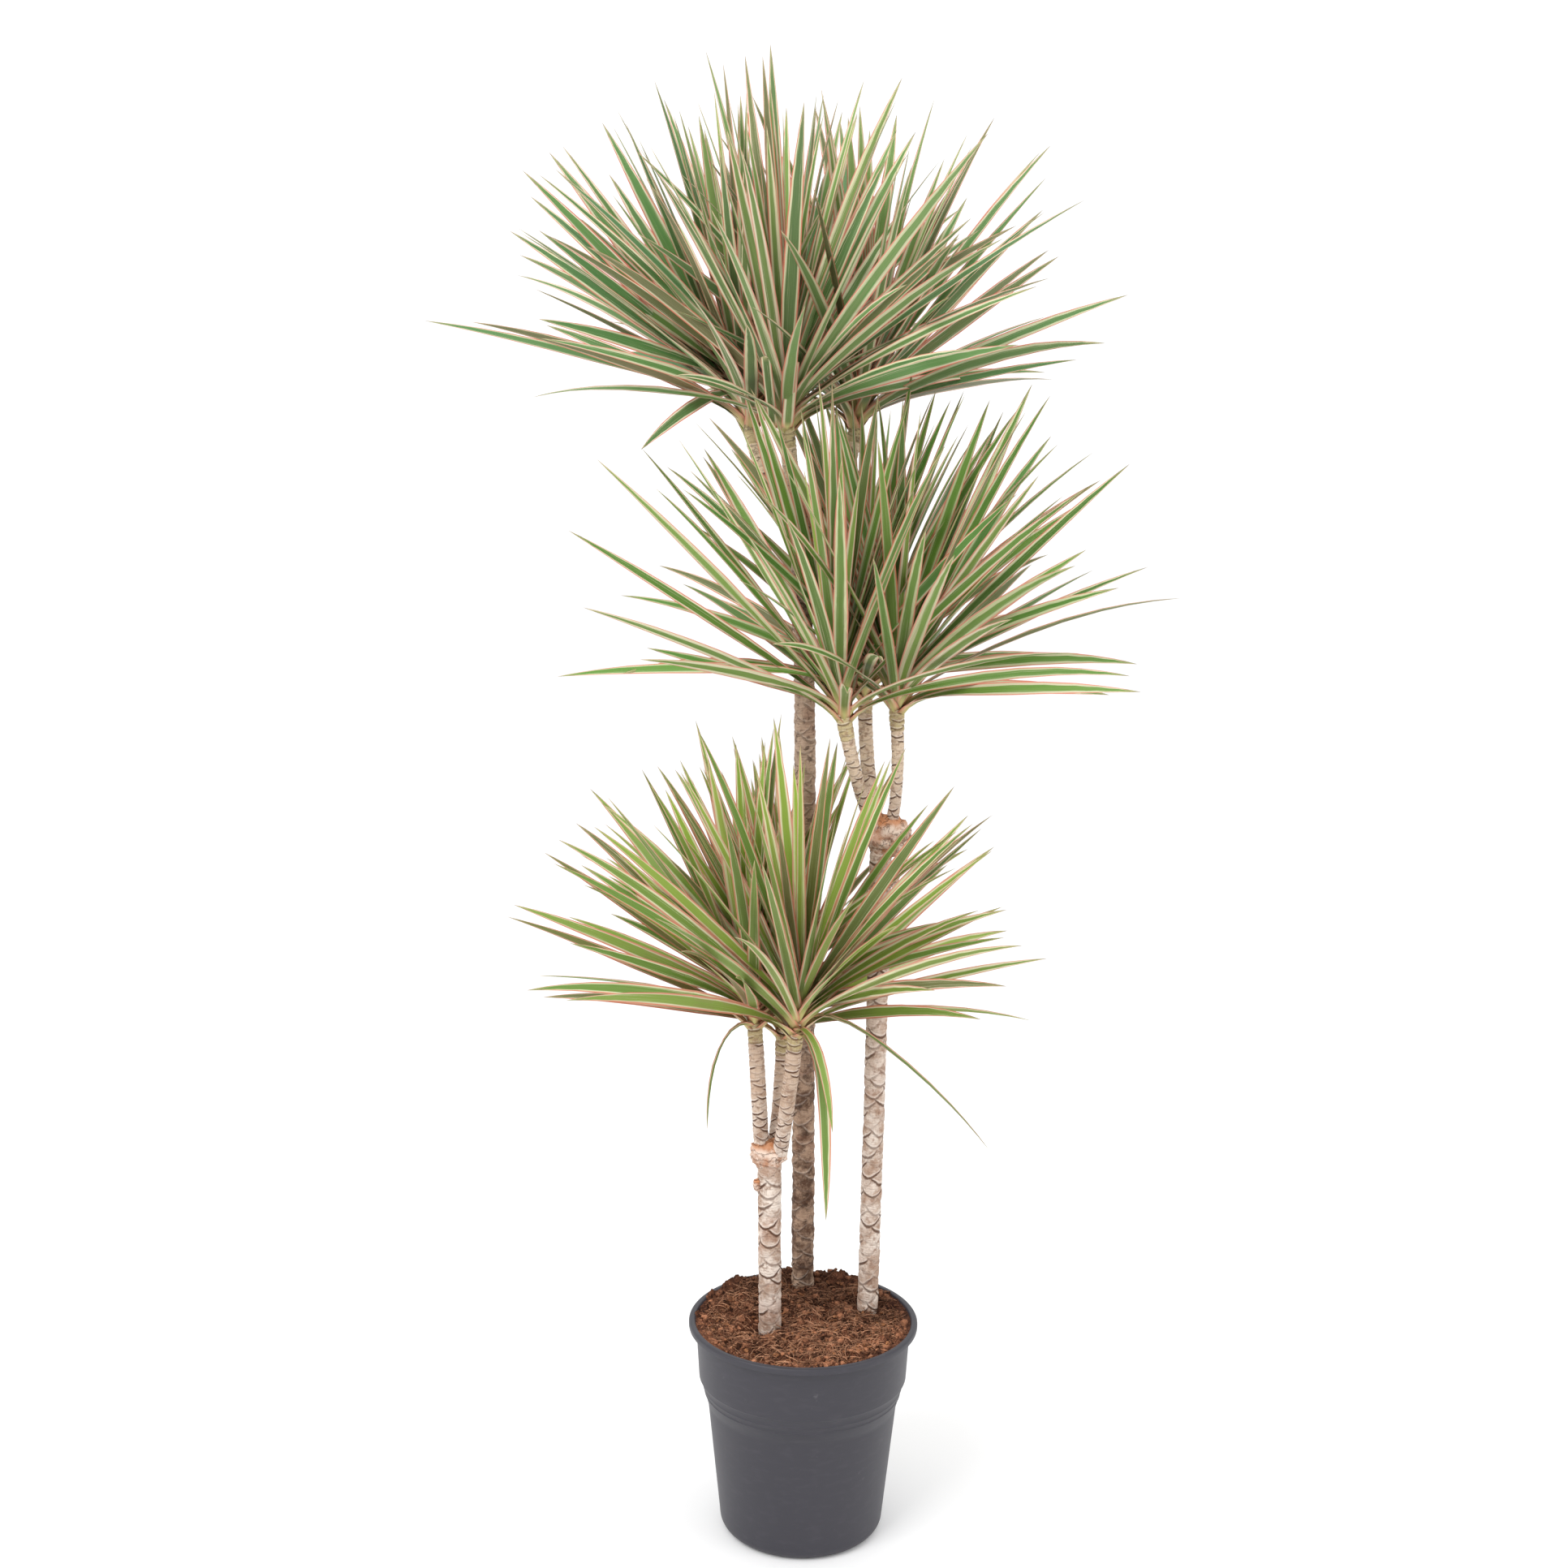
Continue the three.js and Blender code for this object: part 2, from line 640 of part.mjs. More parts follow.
// Places every leaf: first those that reach for the outline, then head by head in turn from the oldest up.
// A leaf that would cross another blade, a cane or another head's core is drawn again, and left out if no
// draw is clear.
function placeLeaves() {
  const placed = caneBoxes();
  const fits = (shoot, leaf) => {
    const boxes = bladeBoxes(bladeFrames(leaf), shoot.name);
    const crossing = boxes.some((box) => placed.some((other) => {
      const sameHead = other.owner === box.owner;
      if (sameHead && (box.nearRoot || other.nearRoot)) return false;
      return boxesMeet(box, other, sameHead ? 0 : blade.clearance);
    }));
    if (crossing) return false;
    placed.push(...boxes);
    shoot.blades.push(leaf);
    return true;
  };
  const place = (shoot, index, tip) => {
    const random = randomFrom(7919 + shoot.phase * 1013 + index * 37);
    for (let attempt = 0; attempt < head.tries; attempt += 1) {
      const drawn = drawLeaf(shoot, index, random, attempt);
      if (fits(shoot, tip ? bendTo(drawn, tip) : drawn)) return;
    }
  };
  const reaching = new Map(shoots.map((shoot) => [shoot, reachingLeaves(shoot)]));
  shoots.forEach((shoot) => reaching.get(shoot).forEach((tip, index) => place(shoot, index, tip)));
  const rounds = Math.max(...shoots.map((shoot) => shoot.leaves));
  for (let index = 0; index < rounds; index += 1) {
    shoots
      .filter((shoot) => index < shoot.leaves && !reaching.get(shoot).has(index))
      .forEach((shoot) => place(shoot, index, null));
  }
}

// ---- Heads ----

// A keeled blade: flat on top between its two margins, with a ridge below.
function makeBlade(leaf) {
  const rings = bladeFrames(leaf).map(({ at, across, under }, i) => {
    const width = blade.halfWidths[i];
    if (width === 0) return [at];
    const top = at.clone().addScaledVector(under, -blade.keels[i] / 2);
    return [
      top.clone().addScaledVector(across, width),
      top.clone().addScaledVector(across, -width),
      top.clone().addScaledVector(under, blade.keels[i]),
    ];
  });
  return solidFrom(skin(rings));
}

function makeHead(shoot) {
  const along = (height) => shoot.neck.clone().addScaledVector(shoot.axis, height);
  const core = skin([
    sectionRing(along(gap), shoot.axis, shoot.neckRadius, head.coreSides),
    sectionRing(along(head.lowestRoot), shoot.axis, head.coreRadius, head.coreSides),
    sectionRing(along(head.coreTop), shoot.axis, head.coreTopRadius, head.coreSides),
  ]);
  const joined = wasm.Manifold.union([solidFrom(core), ...shoot.blades.map(makeBlade)]);
  // The outer skin alone, so that a hollow sealed between crowded roots is solid.
  return joined.decompose().sort((a, b) => b.volume() - a.volume())[0];
}

// ---- The plant ----

const plant = new THREE.Group();

function addMesh(name, solid, colour, roughness) {
  const material = new THREE.MeshStandardMaterial({ color: colour, roughness, metalness: 0 });
  const mesh = new THREE.Mesh(geometryFrom(solid), material);
  mesh.name = name;
  plant.add(mesh);
}

placeLeaves();
addMesh('pot', makePot(), colours.potPlastic, 0.5);
addMesh('soil', makeSoil(), colours.soil, 1);
canes.forEach((cane) => {
  const colour = cane.name === 'tall' ? colours.brownBark : colours.paleBark;
  addMesh(`cane_${cane.name}`, makeCane(cane), colour, 0.9);
});
shoots.forEach((shoot) => addMesh(`head_${shoot.name}`, makeHead(shoot), colours.leaf, 0.5));

export default plant;
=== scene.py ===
import math
import bmesh
import bpy
import numpy as np
from mathutils import Matrix, Vector, noise


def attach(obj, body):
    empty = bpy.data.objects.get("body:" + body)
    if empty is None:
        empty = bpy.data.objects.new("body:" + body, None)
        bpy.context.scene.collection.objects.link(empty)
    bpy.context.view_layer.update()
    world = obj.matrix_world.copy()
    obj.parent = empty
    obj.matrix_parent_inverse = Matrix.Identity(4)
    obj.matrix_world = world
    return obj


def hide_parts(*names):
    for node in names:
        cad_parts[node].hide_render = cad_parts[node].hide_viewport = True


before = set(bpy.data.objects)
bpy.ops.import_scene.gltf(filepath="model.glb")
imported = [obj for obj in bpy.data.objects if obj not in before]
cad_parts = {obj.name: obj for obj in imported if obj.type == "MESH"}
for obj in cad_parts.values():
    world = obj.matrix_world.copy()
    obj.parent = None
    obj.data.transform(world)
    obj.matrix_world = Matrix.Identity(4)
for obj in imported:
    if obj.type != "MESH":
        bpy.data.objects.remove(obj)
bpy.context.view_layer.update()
mm = 0.001

view = {
    "place": (-0.0258, -2.0, 1.1599),
    "downDegrees": 10.215,
    "rollDegrees": 0.5815,
    "lens": 46.57,
}
light = {
    "sky": 1.12,
    "aim": (0.0, 0.0, 0.8),
    "floorGrey": 0.95,
    "floorRadius": 16.0,
    # place, size and power of each softbox
    "softboxes": {
        "keySoftbox": ((-1.6, -1.9, 2.6), (1.6, 1.6), 46.0),
        "fillSoftbox": ((2.2, -1.2, 1.6), (1.4, 1.8), 12.0),
    },
}


def makeStage():
    scene = bpy.context.scene
    camera = bpy.data.objects.new("photoCamera", bpy.data.cameras.new("photoCamera"))
    camera.data.lens = view["lens"]
    camera.data.sensor_width = 36.0
    camera.data.clip_start = 0.02
    camera.data.clip_end = 60.0
    aim = Matrix.Rotation(math.radians(90.0 - view["downDegrees"]), 4, "X")
    roll = Matrix.Rotation(math.radians(view["rollDegrees"]), 4, "Z")
    camera.matrix_world = Matrix.Translation(view["place"]) @ aim @ roll
    scene.collection.objects.link(camera)
    scene.camera = camera
    scene.view_settings.view_transform = "Standard"

    world = bpy.data.worlds.new("studio")
    world.use_nodes = True
    sky = world.node_tree.nodes["Background"].inputs
    sky["Color"].default_value = (1.0, 1.0, 1.0, 1.0)
    sky["Strength"].default_value = light["sky"]
    scene.world = world

    for name, (place, size, power) in light["softboxes"].items():
        lamp = bpy.data.lights.new(name, "AREA")
        lamp.shape = "RECTANGLE"
        lamp.size, lamp.size_y = size
        lamp.energy = power
        softbox = bpy.data.objects.new(name, lamp)
        towards = Vector(light["aim"]) - Vector(place)
        softbox.rotation_euler = towards.to_track_quat("-Z", "Y").to_euler()
        softbox.location = place
        scene.collection.objects.link(softbox)

    bm = bmesh.new()
    bmesh.ops.create_circle(bm, cap_ends=True, segments=96, radius=light["floorRadius"])
    floor = addPiece("studioFloor", bm, [floorFinish()])
    print("stage ready")


class Value:
    # a socket that can be used in sums, products and comparisons
    def __init__(self, finish, socket):
        self.finish, self.socket = finish, socket

    def math(self, operation, *terms, clamp=False):
        settings = {"operation": operation, "use_clamp": clamp}
        return self.finish.node("Math", settings, dict(enumerate(terms)))

    def __add__(self, other):
        return self.math("ADD", self, other)

    def __sub__(self, other):
        return self.math("SUBTRACT", self, other)

    def __rsub__(self, other):
        return self.math("SUBTRACT", other, self)

    def __mul__(self, other):
        return self.math("MULTIPLY", self, other)

    def __pow__(self, other):
        return self.math("POWER", self, other)

    def __abs__(self):
        return self.math("ABSOLUTE", self)

    __radd__ = __add__
    __rmul__ = __mul__

    def fraction(self):
        return self.math("FRACT", self)

    def clamped(self):
        return self.math("ADD", self, 0.0, clamp=True)

    def between(self, low, high):
        # 0 below low, 1 above high, smooth in between
        inputs = {"Value": self, "From Min": low, "From Max": high}
        return self.finish.node("MapRange", {"interpolation_type": "SMOOTHSTEP"}, inputs)


class Finish:
    def __init__(self, name, roughness, specular=0.5):
        self.material = bpy.data.materials.new(name)
        self.material.use_nodes = True
        self.tree = self.material.node_tree
        self.surface = self.tree.nodes["Principled BSDF"]
        self.surface.inputs["Roughness"].default_value = roughness
        self.surface.inputs["Specular IOR Level"].default_value = specular

    def node(self, kind, settings=None, inputs=None, output=0):
        made = self.tree.nodes.new("ShaderNode" + kind)
        for key, value in (settings or {}).items():
            setattr(made, key, value)
        for key, value in (inputs or {}).items():
            if isinstance(value, Value):
                self.tree.links.new(value.socket, made.inputs[key])
            else:
                made.inputs[key].default_value = value
        return Value(self, made.outputs[output])

    def mix(self, share, first, second):
        colours = [(*c, 1.0) if isinstance(c, tuple) else c for c in (first, second)]
        inputs = {0: share, 6: colours[0], 7: colours[1]}
        return self.node("Mix", {"data_type": "RGBA"}, inputs, output=2)

    def attribute(self, name):
        return self.node("Attribute", {"attribute_name": name}, output=2)

    def placeAt(self, x, y, z):
        return self.node("CombineXYZ", None, {0: x, 1: y, 2: z})

    def noise(self, vector, scale, detail=3.0, roughness=0.55):
        inputs = {"Vector": vector, "Scale": scale, "Detail": detail, "Roughness": roughness}
        return self.node("TexNoise", None, inputs)

    def object(self):
        return self.node("TexCoord", output=3)

    def split(self, vector, axis):
        return self.node("SeparateXYZ", None, {0: vector}, output=axis)

    def set(self, socket, value):
        self.tree.links.new(value.socket, self.surface.inputs[socket])

    def bump(self, height, distance, strength=1.0):
        inputs = {"Height": height, "Distance": distance, "Strength": strength}
        self.set("Normal", self.node("Bump", None, inputs))


def linear(red, green, blue):
    # display colour 0..255 as the light it reflects
    parts = (value / 255.0 for value in (red, green, blue))
    return tuple(p / 12.92 if p < 0.04045 else ((p + 0.055) / 1.055) ** 2.4 for p in parts)


def linearTones(tones):
    return {name: linear(*colour) for name, colour in tones.items()}


def floorFinish():
    # pale and matt, with a faint drift of tone
    finish = Finish("paleFloor", 0.9, 0.2)
    shade = finish.noise(finish.object(), 0.6, 2.0)
    grey = light["floorGrey"]
    finish.set("Base Color", finish.mix(shade, (grey,) * 3, (grey * 0.985,) * 3))
    return finish.material


def addPiece(name, bm, materials, smooth=True):
    mesh = bpy.data.meshes.new(name)
    bm.to_mesh(mesh)
    bm.free()
    for material in materials:
        mesh.materials.append(material)
    mesh.polygons.foreach_set("use_smooth", [smooth] * len(mesh.polygons))
    piece = bpy.data.objects.new(name, mesh)
    bpy.context.scene.collection.objects.link(piece)
    return piece


def dress(piece, node):
    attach(piece, "root")
    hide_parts(node)


def setValues(piece, name, values):
    # one number for each vertex, read by the finish
    layer = piece.data.attributes.new(name, "FLOAT", "POINT")
    layer.data.foreach_set("value", np.asarray(values, dtype=np.float32))


def gridCells(bm, columns, rows):
    # a flat grid and, for each vertex, its column and row
    bmesh.ops.create_grid(bm, x_segments=columns, y_segments=rows, size=0.5)
    bm.verts.ensure_lookup_table()
    return [(round((v.co.x + 0.5) * columns), round((v.co.y + 0.5) * rows)) for v in bm.verts]


def lerpRows(stops, at):
    # straight-line reading of (place, value, value...) stops
    table = np.array(stops, dtype=float)
    return [float(np.interp(at, table[:, 0], table[:, k])) for k in range(1, table.shape[1])]


class Draw:
    # seeded random numbers in 0..1
    factor, term, size = 1664525, 1013904223, 2 ** 32

    def __init__(self, seed):
        self.state = seed

    def __call__(self):
        self.state = (self.factor * self.state + self.term) % self.size
        return self.state / self.size


def lerp(low, high, t):
    return low + (high - low) * t


potForm = {
    "height": 230, "rimRadius": 120, "lipHeight": 7, "lipRound": 2.4,
    "collarTop": 112.3, "collarFoot": 109, "collarFootHeight": 167.5, "collarRound": 1.6,
    "bodyTop": 99.5, "bodyTopHeight": 140, "bodyFoot": 86.2, "footRound": 13,
    "wall": 2, "floor": 5.5, "footRing": 60, "footRingWidth": 6, "pad": 18, "recess": 3,
    # raised lines under the collar: height and how far each stands out
    "lines": ((152, 0.5), (158.5, 0.35)),
    "sides": 160, "sharpAngle": 38,
}
# arches in the foot, each with an outlet over it; the first is just right of the front
archForm = {
    "count": 3, "first": -66, "width": 27, "height": 5.2, "length": 34, "outlet": 5, "round": 1.6,
}
potTones = {
    "deep": (41, 40, 48), "light": (51, 49, 57), "flow": (76, 71, 79), "scuff": (112, 108, 111),
}


def roundCorner(centre, radius, start, end, steps=6):
    angles = np.radians(np.linspace(start, end, steps + 1))
    return [(centre[0] + radius * math.cos(a), centre[1] + radius * math.sin(a)) for a in angles]


def straight(low, high):
    # the radius at each height of a straight side between two (radius, height) points
    return lambda z: np.interp(z, (low[1], high[1]), (low[0], high[0]))


def potSection():
    # the shell's outline as (radius, height), from under its middle round the rim to its floor
    p = potForm
    foot, lip, corner, wall = p["footRound"], p["lipRound"], p["collarRound"], p["wall"]
    lipFoot = p["height"] - p["lipHeight"]
    bodyTop = (p["bodyTop"], p["bodyTopHeight"])
    coneFoot = (bodyTop[0] + 0.7, bodyTop[1] + 1.2)
    coneTop = (p["collarFoot"] - 2.2, p["collarFootHeight"] - 1.5)
    collarFoot = (p["collarFoot"], p["collarFootHeight"] + corner)
    body = straight((p["bodyFoot"], foot), bodyTop)
    cone = straight(coneFoot, coneTop)
    collar = straight(collarFoot, (p["collarTop"], lipFoot))

    outline = [(0, 0), (p["pad"], 0), (p["pad"] + 2, p["recess"]), (p["footRing"] - 2, p["recess"])]
    outline += [(p["footRing"], 0), (p["footRing"] + p["footRingWidth"], 0)]
    outline += roundCorner((p["bodyFoot"] - foot, foot), foot, -90, -4, 10)
    outline += [(body(z), z) for z in np.linspace(foot + 6, bodyTop[1] - 4, 12)]
    outline += [bodyTop, coneFoot]
    for height, depth in p["lines"]:
        outline += [(cone(height - 0.9), height - 0.9), (cone(height) + depth, height - 0.3)]
        outline += [(cone(height) + depth, height + 0.3), (cone(height + 0.9), height + 0.9)]
    outline += [coneTop]
    outline += roundCorner((collarFoot[0] - corner, collarFoot[1]), corner, -80, 0, 5)
    outline += [(collar(z), z) for z in np.linspace(p["collarFootHeight"] + 8, lipFoot - 6, 6)]
    outline += [(p["collarTop"], lipFoot - 1.5), (p["collarTop"] + 0.6, lipFoot)]
    outline += [(p["rimRadius"] - 1.2, lipFoot), (p["rimRadius"] - 0.3, lipFoot + 0.5)]
    outline += [(p["rimRadius"], lipFoot + 1.6)]
    outline += roundCorner((p["rimRadius"] - lip, p["height"] - lip), lip, 0, 90, 6)
    outline += roundCorner((p["rimRadius"] - lip - 2.2, p["height"] - 2), 2, 90, 160, 4)
    outline += [(p["collarTop"] - wall, lipFoot - 2), (p["collarFoot"] - wall, p["collarFootHeight"])]
    outline += [(bodyTop[0] - wall, bodyTop[1]), (p["bodyFoot"] - wall, foot)]
    outline += [(p["bodyFoot"] - foot * 0.5, p["floor"]), (0, p["floor"])]
    return outline


def cutBy(piece, cutter):
    modifier = piece.modifiers.new("cut", "BOOLEAN")
    modifier.operation = "DIFFERENCE"
    modifier.solver = "EXACT"
    modifier.object = cutter
    graph = bpy.context.evaluated_depsgraph_get()
    cut = bpy.data.meshes.new_from_object(piece.evaluated_get(graph))
    piece.modifiers.clear()
    piece.data = cut
    bpy.data.objects.remove(cutter)


def footCutter():
    # a low box for each arch, rounded at its top, and a peg for the outlet over it
    a, foot = archForm, potForm["footRing"]
    bm = bmesh.new()
    for i in range(a["count"]):
        turn = Matrix.Rotation(math.radians(a["first"] + i * 360 / a["count"]), 4, "Z")
        arch = Matrix.Translation(((foot + a["length"] / 2) * mm, 0, 0))
        size = Matrix.Diagonal((a["length"] * mm, a["width"] * mm, 2 * a["height"] * mm, 1))
        box = bmesh.ops.create_cube(bm, size=1.0, matrix=turn @ arch @ size)["verts"]
        top = [e for e in bm.edges if all(v in box and v.co.z > 0 for v in e.verts)]
        bmesh.ops.bevel(
            bm, geom=top, offset=a["round"] * mm, segments=3, profile=0.5, affect="EDGES", material=-1)
        outlet = Matrix.Translation(((foot + 2 * a["outlet"]) * mm, 0, potForm["floor"] * mm))
        bmesh.ops.create_cone(
            bm, cap_ends=True, segments=24, radius1=a["outlet"] * mm, radius2=a["outlet"] * mm,
            depth=4 * potForm["floor"] * mm, matrix=turn @ outlet)
    return addPiece("footCutter", bm, [])


def makePot():
    bm = bmesh.new()
    verts = [bm.verts.new((r * mm, 0.0, z * mm)) for r, z in potSection()]
    edges = [bm.edges.new(pair) for pair in zip(verts, verts[1:])]
    bmesh.ops.spin(
        bm, geom=verts + edges, cent=(0, 0, 0), axis=(0, 0, 1), angle=2 * math.pi,
        steps=potForm["sides"], use_merge=True)
    bmesh.ops.remove_doubles(bm, verts=bm.verts, dist=1e-6)
    bmesh.ops.recalc_face_normals(bm, faces=bm.faces)
    pot = addPiece("potShell", bm, [potFinish()])
    cutBy(pot, footCutter())
    for edge, angle in zip(pot.data.edges, edgeAngles(pot.data)):
        edge.use_edge_sharp = angle > math.radians(potForm["sharpAngle"])
    dress(pot, "pot")
    print("pot made,", len(pot.data.polygons), "faces")


def edgeAngles(mesh):
    bm = bmesh.new()
    bm.from_mesh(mesh)
    angles = [edge.calc_face_angle(0.0) for edge in bm.edges]
    bm.free()
    return angles


def potFinish():
    # charcoal moulded plastic: a satin sheen, faint flow marks and a fine grain
    finish = Finish("charcoalPlastic", 0.45, 0.5)
    place = finish.object()
    x, y, z = (finish.split(place, axis) for axis in range(3))
    cloud = finish.noise(place, 9.0, 4.0)
    around = finish.node("Math", {"operation": "ARCTAN2"}, {0: y, 1: x})
    flow = finish.noise(finish.placeAt(around * 6.0, z * 160.0, 0.0), 1.0, 3.0)
    grain = finish.noise(place, 900.0, 2.0)
    tone = linearTones(potTones)
    base = finish.mix(cloud, tone["deep"], tone["light"])
    base = finish.mix((flow - 0.5).clamped() * 0.7, base, tone["flow"])
    scuffs = finish.noise(place, 48.0, 6.0, 0.7).between(0.64, 0.76)
    base = finish.mix(scuffs * 0.35, base, tone["scuff"])
    finish.set("Base Color", base)
    finish.set("Roughness", 0.40 + 0.16 * cloud + 0.12 * scuffs)
    finish.bump(grain * 0.5 + flow * 0.5, 0.00012, 0.6)
    return finish.material


soilForm = {
    "level": 223, "backRise": 12, "riseFrom": -20, "riseTo": 105, "lump": 2.2,
    "broadWave": 0.105, "narrowWave": 0.21, "radius": 114.6, "edgeFrom": 94, "edgeHeight": 227.4,
    "skirt": ((110.0, 221.5), (108.2, 196.0)), "cells": 180,
    # clods and crumbs: height and fineness
    "clod": (5.0, 0.055), "crumb": (2.3, 0.42),
    # hollows: place, depth and reach; each cane has one too, a little to its right
    "hollows": ((-54, -12, 7, 10), (34, 74, 7, 22)), "caneHollow": (3.6, 19.0), "caneHollowShift": 4,
}
soilTones = {
    # the dark and the pale of the bed and of each kind of loose bits
    "coir": ((66, 37, 26), (176, 118, 88)), "coirCrumbs": ((58, 32, 22), (206, 142, 106)),
    "coirFibres": ((86, 50, 35), (236, 176, 138)), "barkChips": ((84, 46, 32), (206, 142, 98)),
    # painted shade: one tone for the back and the right of the bed, one for the gaps between its crumbs
    "damp": (48, 26, 18), "gap": (42, 22, 15),
}
scatterForm = {
    # how many, and how near the rim they lie
    "soilCrumbs": (1700, 109), "soilFibres": (1800, 101), "soilChips": (260, 104),
    # distance from the canes, seeds of the draw and of the jagged corners, and how few are pale
    "clearOfCanes": 16, "seed": 417, "jaggedSeed": 5, "fewPale": 2.0,
    # pale chips that stand out on the bed, and how pale they are
    "paleChips": (
        (27, -22), (33, -19), (21, -17), (-3, -17), (40, 25), (24, -26), (86, -14), (92, -10), (80, -9),
    ),
    "paleTint": 1.3,
}


def smoothstep(value, low, high):
    t = min(max((value - low) / (high - low), 0.0), 1.0)
    return t * t * (3.0 - 2.0 * t)


def soilHeight(x, y):
    s = soilForm
    back = smoothstep(y, s["riseFrom"], s["riseTo"])
    broad = math.sin(x * s["broadWave"] + 1) * math.cos(y * s["broadWave"] - 0.6)
    narrow = math.sin((x - y) * s["narrowWave"] + 2.4)
    return s["level"] + s["backRise"] * back + s["lump"] * (broad + 0.6 * narrow)


def soilTop(x, y):
    # the finer surface: clods and crumbs on the broad rise, hollowed round the canes
    s = soilForm
    clods = noise.fractal(Vector((x, y, 3.0)) * s["clod"][1], 1.0, 2.1, 4) * s["clod"][0]
    crumbs = noise.noise(Vector((x, y, 9.0)) * s["crumb"][1]) * s["crumb"][0]
    edge = smoothstep(math.hypot(x, y), s["edgeFrom"], s["radius"] - 1)
    feet = [cane["trunk"][1] for cane in canes]
    hollows = [(foot[0] + s["caneHollowShift"], foot[1], *s["caneHollow"]) for foot in feet]
    hollow = 0.0
    for hx, hy, depth, reach in (*hollows, *s["hollows"]):
        hollow += depth * math.exp(-(math.hypot(x - hx, y - hy) / reach) ** 4)
    heap = soilHeight(x, y) + clods + crumbs - hollow
    rim = max(s["edgeHeight"], heap - 1.5) if y > 0 else s["edgeHeight"]
    return heap * (1 - edge) + (rim + 0.4 * crumbs) * edge


def squareToDisc(u, v):
    # evens out a square grid over a disc
    if abs(u) < 1e-9 and abs(v) < 1e-9:
        return 0.0, 0.0
    if abs(u) > abs(v):
        radius, angle = u, math.pi / 4 * v / u
    else:
        radius, angle = v, math.pi / 2 - math.pi / 4 * u / v
    return radius * math.cos(angle), radius * math.sin(angle)


def makeSoil():
    s = soilForm
    bm = bmesh.new()
    bmesh.ops.create_grid(bm, x_segments=s["cells"], y_segments=s["cells"], size=1.0)
    for vert in bm.verts:
        x, y = (c * s["radius"] for c in squareToDisc(vert.co.x, vert.co.y))
        vert.co = Vector((x, y, soilTop(x, y))) * mm
    rim = [edge for edge in bm.edges if edge.is_boundary]
    for radius, height in s["skirt"]:
        skirt = bmesh.ops.extrude_edge_only(bm, edges=rim)["geom"]
        for vert in (item for item in skirt if isinstance(item, bmesh.types.BMVert)):
            out = radius * mm / math.hypot(vert.co.x, vert.co.y)
            vert.co = Vector((vert.co.x * out, vert.co.y * out, height * mm))
        rim = [e for e in skirt if isinstance(e, bmesh.types.BMEdge) and e.is_boundary]
    bmesh.ops.holes_fill(bm, edges=rim, sides=0)
    bmesh.ops.recalc_face_normals(bm, faces=bm.faces)
    bed = addPiece("soilBed", bm, [soilFinish("coir")])
    dress(bed, "soil")

    scatter = scatterForm
    draw = Draw(scatter["seed"])
    noise.seed_set(scatter["jaggedSeed"])  # without it, the vector noise differs from run to run
    kinds = (
        ("soilCrumbs", crumbMesh, crumb, "coirCrumbs"), ("soilFibres", fibreMesh, fibre, "coirFibres"),
        ("soilChips", chipMesh, chip, "barkChips"),
    )
    for name, form, shape, tones in kinds:
        spots = list(scatter["paleChips"]) if name == "soilChips" else []
        bright = len(spots)
        count, reach = scatter[name]
        while len(spots) < count:
            angle, radius = 2 * math.pi * draw(), reach * math.sqrt(draw())
            x, y = radius * math.cos(angle), radius * math.sin(angle)
            feet = (cane["trunk"][1] for cane in canes)
            if all(math.hypot(x - foot[0], y - foot[1]) > scatter["clearOfCanes"] for foot in feet):
                spots.append((x, y))
        piece, corners = copies(name, form(), len(spots), soilFinish(tones))
        moveCopies(piece, [shape(corners, x, y, draw) for x, y in spots])
        tints = [scatter["paleTint"]] * bright
        tints += [draw() ** scatter["fewPale"] for _ in range(count - bright)]
        setValues(piece, "tint", np.repeat(tints, len(corners)))
        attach(piece, "root")
    print("soil made")


def copies(name, form, count, finish):
    # one piece of many copies of a form, and the form's own corners
    bm = bmesh.new()
    for _ in range(count):
        bm.from_mesh(form)
    corners = np.zeros(len(form.vertices) * 3)
    form.vertices.foreach_get("co", corners)
    bpy.data.meshes.remove(form)
    return addPiece(name, bm, [finish]), corners.reshape(-1, 3)


def moveCopies(piece, places):
    # gives every copy its own corners, in millimetres
    piece.data.vertices.foreach_set("co", (np.concatenate(places) * mm).ravel())
    piece.data.update()


def formMesh(bm):
    bmesh.ops.recalc_face_normals(bm, faces=bm.faces)
    mesh = bpy.data.meshes.new("form")
    bm.to_mesh(mesh)
    bm.free()
    return mesh


def settle(local, x, y, draw, lift, tilt):
    # a loose bit's corners on the soil, turned and tilted at random
    turn = Matrix.Rotation(2 * math.pi * draw(), 3, "Z")
    lean = Matrix.Rotation(math.radians((draw() - 0.5) * tilt), 3, "X")
    roll = Matrix.Rotation(math.radians((draw() - 0.5) * tilt), 3, "Y")
    return local @ np.array(turn @ lean @ roll).T + np.array((x, y, soilTop(x, y) + lift))


def jagged(local, amount, draw):
    # the corners, each pushed a little out of place
    shift = Vector((100 * draw(),) * 3)
    return np.array([p + np.array(noise.noise_vector(Vector(p) + shift)) * amount for p in local])


# loose bits: least and greatest sizes and bends in millimetres, and the tilt in degrees
crumbForm = {
    "size": (0.9, 4.2), "stretch": (0.7, 1.6), "flat": 0.65, "rough": 0.45, "lift": 0.15, "tilt": 60,
}
fibreForm = {
    "length": (8.0, 28.0), "width": (0.3, 0.72), "arch": (0.6, 3.2), "bend": 1.6, "lift": 0.1,
    "tilt": 26,
}
chipForm = {
    "length": (4.0, 16.0), "width": (1.6, 4.8), "thick": (0.8, 2.0), "scale": 1.4, "blunt": 0.22,
    "rough": 0.8, "lift": 0.7, "tilt": 50,
}


def crumbMesh():
    bm = bmesh.new()
    bmesh.ops.create_icosphere(bm, subdivisions=1, radius=1.0)
    return formMesh(bm)


